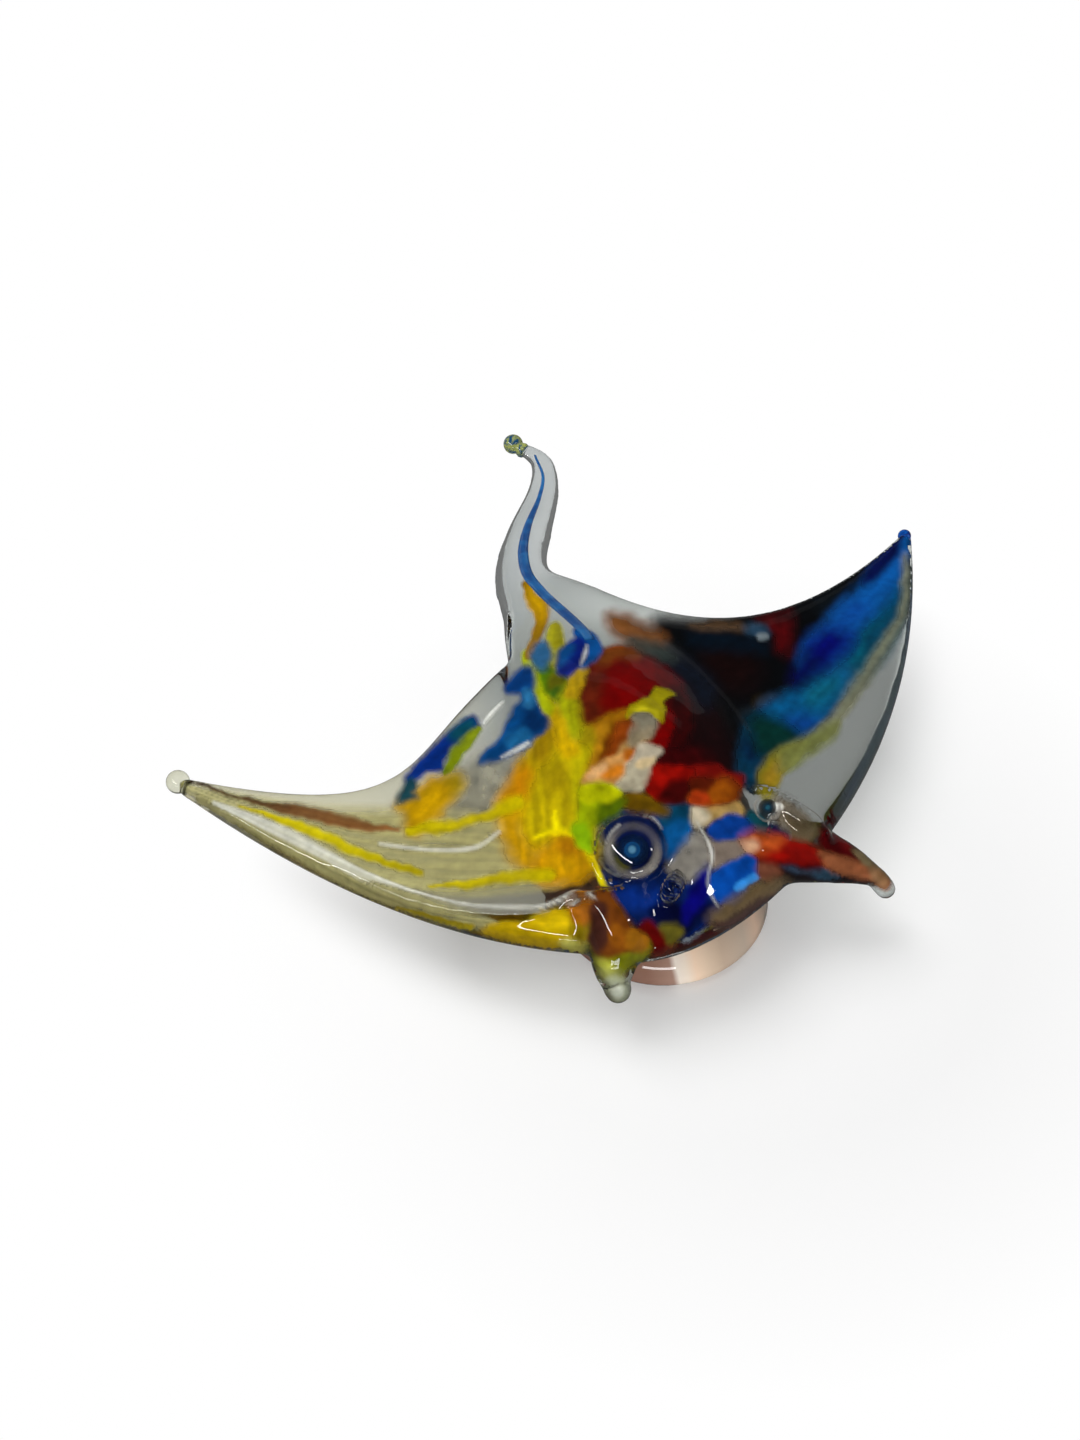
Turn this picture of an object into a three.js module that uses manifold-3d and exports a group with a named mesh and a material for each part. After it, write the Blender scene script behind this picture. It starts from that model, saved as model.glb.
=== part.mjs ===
import * as THREE from 'three';
import { mergeVertices } from 'three/addons/utils/BufferGeometryUtils.js';
import Module from 'manifold-3d';

// Glass manta ray, worked hot and solid: a clear gather pulled out into wings and tail, colour chips laid on
// it, a clear casing over them, and bits of glass added last for the head fins, eyes, tips and foot.
// Millimetres, +Z up. The origin is the middle of the foot's resting face, the head looks to -Y
// and the ray's left wing is at +X.

const fitGap = 0.3; // clearance between pieces of glass that meet

// How far the pulled ends reach out from the middle of the foot, and how far back the wing tips are swept
const rightReach = 84;
const leftReach = 98.5;
const rightSweepBack = 60.5;
const leftSweepBack = 59;
const tailReach = 119;

// Plan of each wing: the leading edge bows out once, the trailing edge dips in and sweeps out to the tip
const rightWing = {
  corner: [-25, -19],
  bow: [-0.7 * rightReach, 0],
  tip: [-rightReach, rightSweepBack],
  root: [-8, 56],
  dip: [-0.5 * rightReach, 42.9],
  sweep: [-0.46 * rightReach, 23.4],
};
const leftWing = {
  corner: [32, -15],
  bow: [0.73 * leftReach, 8.5],
  tip: [leftReach, leftSweepBack],
  root: [15, 76.5],
  dip: [0.33 * leftReach, 44.6],
  sweep: [0.57 * leftReach, 40.2],
};
const wingTipWidth = 2.6;
const snoutPull = [[-13, -34], [14, -25.5]]; // draws the lip forward between the two wing corners
const tailRootPull = [1, 90]; // draws the body back into the tail between the two wing roots
const bodyShare = 0.3; // part of the half span, counted in stations, that belongs to the head and back

// Thickness and height of the body and wings
const bodyThick = 13;
const wingTipThick = 3.6;
const rimFlat = 1.6;
const sectionSquareness = 4; // 2 is an ellipse, more is squarer towards the rims
const wingThinning = 1.3; // how fast the wings thin out towards the tips
const trailThinning = 0.35; // part of the thickness lost from the leading to the trailing edge
const midHeight = 18;
const wingTipHeight = 11;
const wingDroop = 1.5;
const humpHeight = 12;
const humpWidth = 60;
const humpLength = 104;
const humpAt = [2, 14];
const casingThick = 4; // the casing comes near this where the body is thick
const chipThick = 1;
const chipBlunt = 0.06; // part of a half turn left off each end of a chip, so that it isn't needle-sharp
const chipFullness = 0.7; // under 1 makes a chip fuller than a lens

// Tail: one S-shaped pull, oval in section, with a coloured thread drawn along inside it
// Stations from its root to its tip: sideways place, part of the way back, height
const tailRootAt = 62;
const tailStations = [
  [3.5, 0, 18],
  [6.5, 0.316, 17.5],
  [13.6, 0.535, 17],
  [22.8, 0.737, 18],
  [26.2, 0.886, 19.5],
  [22.8, 1, 20.5],
];
const tailRootRadius = 8.4;
const tailTipRadius = 1.7;
const tailTaper = 0.65;
const tailFlatness = 0.56;
const tailBeadRadius = 2.5;
const threadRadius = 0.8;
const threadStart = 0.06; // where along the tail the thread begins

// Head fins: routes run from inside the head, measured from the wing corner and the middle height
const rightFin = {
  route: [[9, 6, 4.5], [6.5, 0.5, 3.5], [3.8, -4.5, -1.2], [3.4, -6.3, -6.6]],
  rootRadius: 8.5,
  tipRadius: 2.4,
  taper: 0.8,
  dropRadius: 3.1,
};
const leftFin = {
  route: [[-12, 4, 2], [-5, -3, 1.4], [2, -8.3, -0.7], [7.5, -11.3, -5]],
  rootRadius: 10,
  tipRadius: 2,
  taper: 1.15,
  dropRadius: 2.4,
};
const finFlatness = 0.8;

// Eyes: a clear dome with a ring and a pupil let into its flat underside, each placed by [span, chord]
const rightEye = {
  at: [-0.12, 0.19],
  radius: 7.4,
  height: 4.6,
  ringOuter: 5.6,
  ringInner: 4,
  ringHeight: 1.5,
  pupilRadius: 2.6,
  pupilHeight: 2,
};
const leftEye = {
  at: [0.2, 0.12],
  radius: 4.4,
  height: 2.8,
  ringOuter: 3.4,
  ringInner: 2.8,
  ringHeight: 0.7,
  pupilRadius: 1.6,
  pupilHeight: 1.2,
};
const eyeLetIn = 1.3;

// Nipped wing tips and the foot
const rightTipBeadRadius = 2.7;
const leftTipBeadRadius = 1.6;
const footRestRadius = 22;
const footRadius = 25;
const footBulgeHeight = 3.5;
const footTopRadius = 15;
const footLetIn = 1;
const footShoulder = 0.7; // part of the way up where its side turns in
const footUnder = [0, 0.3]; // place on the belly above the middle of the foot

// Facets
const wingSteps = 11;
const bodySteps = 8;
const chordSteps = 10;
const chipSteps = 5;
const rodSides = 10;
const rodSteps = 14;
const roundSides = 16;
const domeSteps = 4;
const beadSides = 10;
const beadRings = 6;
const slopeStep = 0.03; // span and chord between the points that give the slope under an eye

// Colours
const clearGlass = 0xb9c0bb;
const pinkGlass = 0xd8b6a4;
const ruby = 0x8c0f0c;
const maroon = 0x35060a;
const orange = 0xd9641a;
const amber = 0xc78a0c;
const yellow = 0xe0c300;
const lime = 0x8fae1e;
const green = 0x2f5c1e;
const teal = 0x0f6c86;
const cobalt = 0x0a3f9e;
const ivory = 0xe8dcc0;
const peach = 0xe8a070;
const brown = 0x6a3a20;
const blackGlass = 0x140b10;
const straw = 0xb0a468;
const clearOpacity = 0.4;
const footOpacity = 0.6;
const polishedRoughness = 0.05;

// Colour chips: leaf shapes between two ends by way of a bend, each place as [span, chord] on the body.
// Span runs from -1 at the right tip to 1 at the left tip, chord from 0 at the leading edge to 1.
const leaf = (name, colour, from, bend, to, width) => ({ name, colour, from, bend, to, width });
const chips = [
  leaf('ruby_back', ruby, [-0.03, 0.63], [0.15, 0.63], [0.31, 0.56], 15),
  leaf('maroon_flank', maroon, [0.35, 0.62], [0.37, 0.44], [0.22, 0.22], 12),
  leaf('yellow_spine', yellow, [-0.2, 0.77], [-0.19, 0.55], [-0.23, 0.25], 10),
  leaf('orange_shoulder', orange, [-0.38, 0.31], [-0.34, 0.23], [-0.3, 0.14], 7),
  leaf('amber_wing', amber, [-0.6, 0.86], [-0.6, 0.72], [-0.59, 0.53], 8),
  leaf('yellow_thread', yellow, [-0.55, 0.49], [-0.47, 0.46], [-0.4, 0.44], 3.5),
  leaf('blue_trail_outer', cobalt, [-0.57, 0.88], [-0.51, 0.9], [-0.42, 0.9], 5),
  leaf('blue_trail_inner', cobalt, [-0.45, 0.72], [-0.35, 0.7], [-0.29, 0.77], 6),
  leaf('blue_tail_root', cobalt, [-0.07, 0.8], [0, 0.79], [0.12, 0.81], 6),
  leaf('green_fleck', green, [-0.18, 0.89], [-0.15, 0.85], [-0.13, 0.79], 4),
  leaf('peach_back', peach, [-0.13, 0.45], [-0.09, 0.41], [-0.07, 0.35], 4.5),
  leaf('ivory_back', ivory, [-0.03, 0.43], [-0.01, 0.39], [0, 0.34], 4),
  leaf('amber_back', amber, [-0.1, 0.57], [-0.05, 0.5], [0.01, 0.45], 5),
  leaf('red_crown', ruby, [-0.05, 0.29], [0, 0.28], [0.06, 0.27], 4.5),
  leaf('orange_crown', orange, [0.08, 0.28], [0.13, 0.25], [0.19, 0.23], 5),
  leaf('lemon_back', yellow, [0.07, 0.49], [0.11, 0.46], [0.16, 0.47], 4),
  leaf('red_streak', ruby, [0.21, 0.48], [0.21, 0.37], [0.12, 0.32], 6),
  leaf('lime_cheek', lime, [-0.17, 0.34], [-0.14, 0.31], [-0.1, 0.27], 4),
  leaf('cobalt_brow', cobalt, [-0.15, 0.24], [-0.09, 0.15], [-0.06, 0.07], 11),
  leaf('blue_snout_upper', cobalt, [0.05, 0.19], [0.08, 0.17], [0.12, 0.14], 5),
  leaf('blue_snout_lower', cobalt, [0.01, 0.1], [0.05, 0.08], [0.1, 0.07], 5),
  leaf('red_lip', ruby, [-0.18, 0.07], [-0.14, 0.06], [-0.1, 0.06], 3),
  leaf('brown_wing_streak', brown, [-0.88, 0.7], [-0.78, 0.67], [-0.66, 0.63], 4),
  leaf('yellow_wing_streak', yellow, [-0.8, 0.32], [-0.71, 0.34], [-0.6, 0.32], 4.5),
  leaf('yellow_fore_streak', yellow, [-0.57, 0.23], [-0.48, 0.2], [-0.4, 0.2], 4),
  leaf('yellow_fore_edge', yellow, [-0.48, 0.07], [-0.41, 0.07], [-0.33, 0.07], 4),
  leaf('straw_veil', straw, [-0.8, 0.49], [-0.72, 0.48], [-0.64, 0.46], 3.5),
  leaf('silver_streak', ivory, [-0.9, 0.24], [-0.73, 0.15], [-0.55, 0.09], 3),
  leaf('brown_flank', brown, [0.24, 0.8], [0.3, 0.82], [0.38, 0.84], 4.5),
  leaf('black_wing', blackGlass, [0.4, 0.92], [0.5, 0.81], [0.51, 0.48], 12),
  leaf('red_wing_fleck', ruby, [0.61, 0.86], [0.62, 0.78], [0.63, 0.7], 4),
  leaf('blue_wing', cobalt, [0.56, 0.48], [0.74, 0.58], [0.93, 0.45], 10.5),
  leaf('teal_wing', teal, [0.4, 0.32], [0.51, 0.26], [0.66, 0.25], 8.5),
  leaf('green_wing', green, [0.36, 0.24], [0.41, 0.2], [0.46, 0.17], 3.6),
  leaf('amber_wing_root', amber, [0.27, 0.14], [0.33, 0.13], [0.4, 0.12], 4),
  leaf('khaki_band', straw, [0.82, 0.13], [0.66, 0.11], [0.52, 0.1], 3),
];

const wasm = await Module();
wasm.setup();

const flat = ([x, y]) => new THREE.Vector2(x, y);
const upright = new THREE.Vector3(0, 0, 1);

// Leading and trailing edge of one wing, ending either side of its nipped tip
function wingEdges(wing) {
  const outward = flat(wing.tip).sub(flat(wing.bow)).normalize();
  const across = new THREE.Vector2(-outward.y, outward.x);
  if (across.dot(flat(wing.sweep).sub(flat(wing.bow))) < 0) across.negate();
  across.multiplyScalar(wingTipWidth / 2);
  const leadEnd = flat(wing.tip).sub(across);
  const trailEnd = flat(wing.tip).add(across);
  return {
    lead: new THREE.QuadraticBezierCurve(flat(wing.corner), flat(wing.bow), leadEnd),
    trail: new THREE.CubicBezierCurve(flat(wing.root), flat(wing.dip), flat(wing.sweep), trailEnd),
  };
}

const rightEdges = wingEdges(rightWing);
const leftEdges = wingEdges(leftWing);
const middleEdges = {
  lead: new THREE.CubicBezierCurve(
    flat(rightWing.corner),
    flat(snoutPull[0]),
    flat(snoutPull[1]),
    flat(leftWing.corner),
  ),
  trail: new THREE.QuadraticBezierCurve(flat(rightWing.root), flat(tailRootPull), flat(leftWing.root)),
};

function edgesAt(span) {
  const out = Math.max(0, (Math.abs(span) - bodyShare) / (1 - bodyShare));
  const outer = span < 0 ? rightEdges : leftEdges;
  const edges = out > 0 ? outer : middleEdges;
  const along = out > 0 ? out : (span + bodyShare) / (2 * bodyShare);
  return { lead: edges.lead.getPoint(along), trail: edges.trail.getPoint(along), out };
}

// Plan position and the heights of the underside, the seam under the casing and the upper side
function sectionAt(span, chord) {
  const { lead, trail, out } = edgesAt(span);
  const place = lead.clone().lerp(trail, chord);
  const fullThick = wingTipThick + (bodyThick - wingTipThick) * (1 - out) ** wingThinning;
  const rounding = Math.sqrt(1 - (2 * chord - 1) ** sectionSquareness);
  const half = (fullThick * rounding * (1 - trailThinning * chord) + rimFlat) / 2;
  const middle = midHeight + (wingTipHeight - midHeight) * out ** wingDroop;
  const humpX = (place.x - humpAt[0]) / (humpWidth / 2);
  const humpY = (place.y - humpAt[1]) / (humpLength / 2);
  const hump = humpHeight * Math.max(0, 1 - humpX ** 2 - humpY ** 2) ** 2;
  const bottom = middle - half;
  const top = middle + half + hump;
  const thick = top - bottom;
  const seam = top - thick / (2 + thick / casingThick);
  return { x: place.x, y: place.y, chordwise: trail.sub(lead).normalize(), bottom, seam, top };
}

function stationSpans() {
  const spans = [];
  for (let i = 0; i < wingSteps; i += 1) spans.push(-1 + (i / wingSteps) * (1 - bodyShare));
  for (let i = 0; i <= bodySteps; i += 1) spans.push(-bodyShare + (i / bodySteps) * 2 * bodyShare);
  for (let i = 1; i <= wingSteps; i += 1) spans.push(bodyShare + (i / wingSteps) * (1 - bodyShare));
  return spans;
}

const chordAt = (j) => (1 - Math.cos((Math.PI * j) / chordSteps)) / 2;
const chords = Array.from({ length: chordSteps + 1 }, (_, j) => chordAt(j));
const sections = stationSpans().map((span) => chords.map((chord) => sectionAt(span, chord)));

function geometryOf(positions, triangles) {
  const geometry = new THREE.BufferGeometry();
  geometry.setAttribute('position', new THREE.Float32BufferAttribute(positions, 3));
  geometry.setIndex(triangles);
  return geometry;
}

const spanwise = (inner, outer) => new THREE.Vector2(outer.x - inner.x, outer.y - inner.y).normalize();

// Closed sheet of glass over the whole plan, between two heights taken from the sections
function sheet(low, high, grow = 0) {
  const lastRow = sections.length - 1;
  const lastColumn = chordSteps;
  const positions = [];
  for (const level of [low, high]) {
    sections.forEach((row, i) => row.forEach((section, j) => {
      const place = new THREE.Vector2(section.x, section.y);
      if (j === 0) place.addScaledVector(section.chordwise, -grow);
      if (j === lastColumn) place.addScaledVector(section.chordwise, grow);
      if (i === 0) place.addScaledVector(spanwise(sections[1][j], section), grow);
      if (i === lastRow) place.addScaledVector(spanwise(sections[lastRow - 1][j], section), grow);
      positions.push(place.x, place.y, level(section));
    }));
  }
  const width = lastColumn + 1;
  const lower = (i, j) => i * width + j;
  const upper = (i, j) => (lastRow + 1 + i) * width + j;
  const triangles = [];
  const quad = (a, b, c, d) => triangles.push(a, b, c, a, c, d);
  for (let i = 0; i < lastRow; i += 1) {
    for (let j = 0; j < lastColumn; j += 1) {
      quad(upper(i, j), upper(i + 1, j), upper(i + 1, j + 1), upper(i, j + 1));
      quad(lower(i, j), lower(i, j + 1), lower(i + 1, j + 1), lower(i + 1, j));
    }
    quad(lower(i, 0), lower(i + 1, 0), upper(i + 1, 0), upper(i, 0));
    quad(lower(i + 1, lastColumn), lower(i, lastColumn), upper(i, lastColumn), upper(i + 1, lastColumn));
  }
  for (let j = 0; j < lastColumn; j += 1) {
    quad(lower(0, j + 1), lower(0, j), upper(0, j), upper(0, j + 1));
    quad(lower(lastRow, j), lower(lastRow, j + 1), upper(lastRow, j + 1), upper(lastRow, j));
  }
  return geometryOf(positions, triangles);
}

// Solid rod drawn along a curve, oval in section: radiusAt gives its half width, flatness its height
function drawnRod(curve, radiusAt, { from = 0, flatness = 1, grow = 0, lift = 0 } = {}) {
  const positions = [];
  for (let i = 0; i <= rodSteps; i += 1) {
    const along = from + (1 - from) * (i / rodSteps);
    const ahead = curve.getTangentAt(along);
    const centre = curve.getPointAt(along);
    if (i === 0) centre.addScaledVector(ahead, -grow);
    if (i === rodSteps) centre.addScaledVector(ahead, grow);
    const side = ahead.clone().cross(upright).normalize();
    const up = side.clone().cross(ahead);
    const radius = radiusAt(along);
    for (let k = 0; k < rodSides; k += 1) {
      const angle = (2 * Math.PI * k) / rodSides;
      const point = centre.clone();
      point.addScaledVector(side, (radius + grow) * Math.cos(angle));
      point.addScaledVector(up, (radius * flatness + grow + lift) * Math.sin(angle));
      positions.push(point.x, point.y, point.z);
    }
  }
  const triangles = [];
  for (let i = 0; i < rodSteps; i += 1) {
    for (let k = 0; k < rodSides; k += 1) {
      const next = (k + 1) % rodSides;
      const [a, b] = [i * rodSides + k, i * rodSides + next];
      const [c, d] = [a + rodSides, b + rodSides];
      triangles.push(a, d, b, a, c, d);
    }
  }
  const lastRing = rodSteps * rodSides;
  for (let k = 1; k < rodSides - 1; k += 1) {
    triangles.push(0, k, k + 1);
    triangles.push(lastRing, lastRing + k + 1, lastRing + k);
  }
  return geometryOf(positions, triangles);
}

// Turned shape about +Z from [radius, height] points
function turned(profile) {
  const geometry = new THREE.LatheGeometry(profile.map(flat), roundSides);
  return geometry.rotateX(Math.PI / 2);
}

function solidOf(geometry) {
  const plain = geometry.clone();
  plain.deleteAttribute('normal');
  plain.deleteAttribute('uv');
  const merged = mergeVertices(plain);
  const vertProperties = new Float32Array(merged.attributes.position.array);
  const triVerts = new Uint32Array(merged.index.array);
  return new wasm.Manifold(new wasm.Mesh({ numProp: 3, vertProperties, triVerts }));
}

const carve = (solid, tools) => tools.reduce((rest, tool) => rest.subtract(tool), solid);

function glassPiece(name, solid, colour, opacity = 1) {
  const { vertProperties, triVerts } = solid.getMesh();
  const geometry = geometryOf(Array.from(vertProperties), Array.from(triVerts));
  geometry.computeVertexNormals();
  const look = { color: colour, roughness: polishedRoughness, metalness: 0 };
  const material = new THREE.MeshStandardMaterial(look);
  material.transparent = opacity < 1;
  material.opacity = opacity;
  const mesh = new THREE.Mesh(geometry, material);
  mesh.name = name;
  return mesh;
}

// Upright prism of a chip's leaf outline, widened on all sides by grow
function chipPrism(chip, grow) {
  const [start, bend, end] = [chip.from, chip.bend, chip.to].map(([span, chord]) => {
    const { x, y } = sectionAt(span, chord);
    return new THREE.Vector2(x, y);
  });
  const path = new THREE.QuadraticBezierCurve(start, bend, end);
  const nearSide = [];
  const farSide = [];
  for (let i = 0; i <= chipSteps; i += 1) {
    const along = i / chipSteps;
    const ahead = path.getTangent(along);
    const across = new THREE.Vector2(-ahead.y, ahead.x);
    const swell = Math.sin(Math.PI * (chipBlunt + (1 - 2 * chipBlunt) * along)) ** chipFullness;
    const half = (chip.width / 2) * swell + grow;
    const centre = path.getPoint(along);
    if (i === 0) centre.addScaledVector(ahead, -grow);
    if (i === chipSteps) centre.addScaledVector(ahead, grow);
    nearSide.push(centre.clone().addScaledVector(across, -half));
    farSide.unshift(centre.clone().addScaledVector(across, half));
  }
  const outline = new THREE.Shape([...nearSide, ...farSide]);
  const prismHeight = midHeight + bodyThick + humpHeight;
  return solidOf(new THREE.ExtrudeGeometry(outline, { depth: prismHeight, bevelEnabled: false }));
}

// Body sheets, tail and the shapes that other pieces are fitted to
const bodyGrown = solidOf(sheet((s) => s.bottom - fitGap, (s) => s.top + fitGap, fitGap));
const gatherSheet = solidOf(sheet((s) => s.bottom, (s) => s.seam - fitGap / 2));
const casingSheet = solidOf(sheet((s) => s.seam + fitGap / 2, (s) => s.top));
const chipTop = (s) => s.seam - fitGap / 2;
const chipBase = (s) => chipTop(s) - chipThick;
const chipLayer = solidOf(sheet(chipBase, chipTop));
const pocketLayer = solidOf(sheet((s) => chipBase(s) - fitGap, (s) => s.top + fitGap, fitGap));

const tailPoint = ([x, back, z]) => new THREE.Vector3(x, tailRootAt + (tailReach - tailRootAt) * back, z);
const tailCurve = new THREE.CatmullRomCurve3(tailStations.map(tailPoint));
const tailRadiusAt = (t) => tailTipRadius + (tailRootRadius - tailTipRadius) * (1 - t) ** tailTaper;
const tailRod = solidOf(drawnRod(tailCurve, tailRadiusAt, { flatness: tailFlatness }));
const tailGrown = solidOf(drawnRod(tailCurve, tailRadiusAt, { flatness: tailFlatness, grow: fitGap }));
const tailNotch = solidOf(drawnRod(tailCurve, tailRadiusAt, { grow: fitGap, lift: tailRootRadius }));
const threadRadiusAt = () => threadRadius;
const thread = solidOf(drawnRod(tailCurve, threadRadiusAt, { from: threadStart }));
const threadBore = solidOf(drawnRod(tailCurve, threadRadiusAt, { from: threadStart, grow: fitGap }));

// Eyes stand square on the upper side of the head
function topPoint(span, chord) {
  const { x, y, top } = sectionAt(span, chord);
  return new THREE.Vector3(x, y, top);
}

function eyeSeat({ at: [span, chord] }) {
  const alongSpan = topPoint(span + slopeStep, chord).sub(topPoint(span - slopeStep, chord));
  const alongChord = topPoint(span, chord + slopeStep).sub(topPoint(span, chord - slopeStep));
  const outward = alongSpan.cross(alongChord).normalize();
  const seat = new THREE.Group();
  seat.position.copy(topPoint(span, chord).addScaledVector(outward, -eyeLetIn));
  seat.quaternion.setFromUnitVectors(upright, outward);
  seat.updateMatrix();
  return seat;
}

function domeProfile(radius, height) {
  const profile = [];
  for (let i = 0; i <= domeSteps; i += 1) {
    const angle = (Math.PI / 2) * (i / domeSteps);
    profile.push(i === domeSteps ? [0, height] : [radius * Math.cos(angle), height * Math.sin(angle)]);
  }
  return profile;
}

function eyePieces(side, eye) {
  const pocketTop = eye.pupilHeight + fitGap;
  const pocketRadius = eye.pupilRadius + fitGap;
  const grooveTop = eye.ringHeight + fitGap;
  const grooveInner = eye.ringInner - fitGap;
  const grooveOuter = eye.ringOuter + fitGap;
  const lens = turned([
    [0, pocketTop],
    [pocketRadius, pocketTop],
    [pocketRadius, 0],
    [grooveInner, 0],
    [grooveInner, grooveTop],
    [grooveOuter, grooveTop],
    [grooveOuter, 0],
    ...domeProfile(eye.radius, eye.height),
  ]);
  const ring = turned([
    [eye.ringInner, 0],
    [eye.ringOuter, 0],
    [eye.ringOuter, eye.ringHeight],
    [eye.ringInner, eye.ringHeight],
    [eye.ringInner, 0],
  ]);
  const pupil = turned([[0, 0], ...domeProfile(eye.pupilRadius, eye.pupilHeight)]);
  return [
    glassPiece(`${side}_eye_lens`, solidOf(lens), clearGlass, clearOpacity),
    glassPiece(`${side}_eye_ring`, solidOf(ring), brown),
    glassPiece(`${side}_eye_pupil`, solidOf(pupil), cobalt),
  ];
}

// Hollow that an eye sits in, open upwards
function eyeRecess(eye, seat) {
  const reach = 2 * eye.radius;
  const radius = eye.radius + fitGap;
  const recess = turned([[0, -fitGap], [radius, -fitGap], [radius, reach], [0, reach]]);
  return solidOf(recess.applyMatrix4(seat.matrix));
}

const rightSeat = eyeSeat(rightEye);
const leftSeat = eyeSeat(leftEye);
rightSeat.add(...eyePieces('right', rightEye));
leftSeat.add(...eyePieces('left', leftEye));
const eyeRecesses = [eyeRecess(rightEye, rightSeat), eyeRecess(leftEye, leftSeat)];

// Foot: a squashed round bit, let into the belly
const footTop = sectionAt(...footUnder).bottom + footLetIn;

function footShape(grow) {
  const shoulderRadius = (footRadius + footTopRadius) / 2;
  const shoulderHeight = footBulgeHeight + (footTop - footBulgeHeight) * footShoulder;
  return solidOf(turned([
    [0, 0],
    [footRestRadius + grow, 0],
    [footRadius + grow, footBulgeHeight / 2],
    [footRadius + grow, footBulgeHeight],
    [shoulderRadius + grow, shoulderHeight + grow],
    [footTopRadius + grow, footTop + grow],
    [0, footTop + grow],
  ]));
}

// Head fins with their drops
function finCurve(fin, corner) {
  const place = ([x, y, z]) => new THREE.Vector3(corner[0] + x, corner[1] + y, midHeight + z);
  return new THREE.CatmullRomCurve3(fin.route.map(place));
}

function beadAt(curve, radius, holder) {
  const centre = curve.getPointAt(1).addScaledVector(curve.getTangentAt(1), radius / 2);
  const ball = new THREE.SphereGeometry(radius, beadSides, beadRings).translate(centre.x, centre.y, centre.z);
  return carve(solidOf(ball), [holder]);
}

function finPieces(side, fin, corner, colour) {
  const curve = finCurve(fin, corner);
  const radiusAt = (t) => fin.tipRadius + (fin.rootRadius - fin.tipRadius) * (1 - t) ** fin.taper;
  const rod = solidOf(drawnRod(curve, radiusAt, { flatness: finFlatness }));
  const rodGrown = solidOf(drawnRod(curve, radiusAt, { flatness: finFlatness, grow: fitGap }));
  return [
    glassPiece(`${side}_head_fin`, carve(rod, [bodyGrown, ...eyeRecesses]), colour),
    glassPiece(`${side}_fin_drop`, beadAt(curve, fin.dropRadius, rodGrown), clearGlass, clearOpacity),
  ];
}

// Bead at the nipped end of a wing
function tipBead(name, wing, radius, colour, opacity) {
  const outward = flat(wing.tip).sub(flat(wing.bow)).normalize();
  const centre = flat(wing.tip).addScaledVector(outward, radius / 2);
  const ball = new THREE.SphereGeometry(radius, beadSides, beadRings);
  ball.translate(centre.x, centre.y, wingTipHeight);
  return glassPiece(name, carve(solidOf(ball), [bodyGrown]), colour, opacity);
}

// Clear gather with pockets for the chips, and the casing over it
const chipPockets = chips.map((chip) => chipPrism(chip, fitGap));
const pockets = chipPockets.map((pocket) => pocket.intersect(pocketLayer));
const gather = carve(gatherSheet.add(tailRod), [...pockets, threadBore, footShape(fitGap), ...eyeRecesses]);
const casing = carve(casingSheet, [tailNotch, ...eyeRecesses]);

const ray = new THREE.Group();
ray.add(
  glassPiece('clear_gather', gather, clearGlass, clearOpacity),
  glassPiece('clear_casing', casing, clearGlass, clearOpacity),
  glassPiece('foot', footShape(0), pinkGlass, footOpacity),
  glassPiece('tail_thread', thread, cobalt),
  glassPiece('tail_tip_bead', beadAt(tailCurve, tailBeadRadius, tailGrown), lime),
  tipBead('right_wing_tip_bead', rightWing, rightTipBeadRadius, clearGlass, clearOpacity),
  tipBead('left_wing_tip_bead', leftWing, leftTipBeadRadius, cobalt, 1),
  ...finPieces('right', rightFin, rightWing.corner, brown),
  ...finPieces('left', leftFin, leftWing.corner, maroon),
  rightSeat,
  leftSeat,
);
// Each chip is laid against the chips before it
chips.forEach((chip, index) => {
  const laid = chipPrism(chip, 0).intersect(chipLayer);
  const solid = carve(laid, [...chipPockets.slice(0, index), ...eyeRecesses]);
  ray.add(glassPiece(`${chip.name}_chip`, solid, chip.colour));
});

export default ray;
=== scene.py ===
# Manta ray of solid cased glass: its finished surfaces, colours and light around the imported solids
import math

import bmesh
import bpy
import numpy
from mathutils import Matrix, Vector, noise
from mathutils.bvhtree import BVHTree


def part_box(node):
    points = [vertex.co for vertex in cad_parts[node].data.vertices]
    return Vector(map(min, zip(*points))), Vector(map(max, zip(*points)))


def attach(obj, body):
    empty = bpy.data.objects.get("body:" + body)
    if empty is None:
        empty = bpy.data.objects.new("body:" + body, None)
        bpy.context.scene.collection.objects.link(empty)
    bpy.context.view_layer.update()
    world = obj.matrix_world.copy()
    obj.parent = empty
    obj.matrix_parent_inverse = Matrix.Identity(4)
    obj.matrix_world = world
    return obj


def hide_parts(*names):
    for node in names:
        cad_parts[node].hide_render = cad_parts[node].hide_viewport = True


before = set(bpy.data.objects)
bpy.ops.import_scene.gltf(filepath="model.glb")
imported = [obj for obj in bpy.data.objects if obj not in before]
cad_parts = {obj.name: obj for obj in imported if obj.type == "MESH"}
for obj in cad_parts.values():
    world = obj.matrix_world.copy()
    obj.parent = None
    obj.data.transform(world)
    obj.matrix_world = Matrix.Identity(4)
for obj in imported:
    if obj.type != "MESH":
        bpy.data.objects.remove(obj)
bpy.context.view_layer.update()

mm = 0.001  # sizes below are in millimetres, the scene is in metres
zUp = Vector((0, 0, 1))

# The photograph's camera: the colours below are given in its pixels
photo = {
    "width": 1080,
    "height": 1440,
    "focal": 1935,  # pixels
    "azimuth": -25,
    "elevation": 50,
    "distance": 420,
    "target": (-9, 37.65, 20),
    "sensor": 36,
}
mmPerPixel = photo["distance"] / photo["focal"]


def towards(azimuth, elevation):
    turn, rise = math.radians(azimuth), math.radians(elevation)
    level = math.cos(rise)
    return Vector((math.sin(turn) * level, -math.cos(turn) * level, math.sin(rise)))


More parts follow.
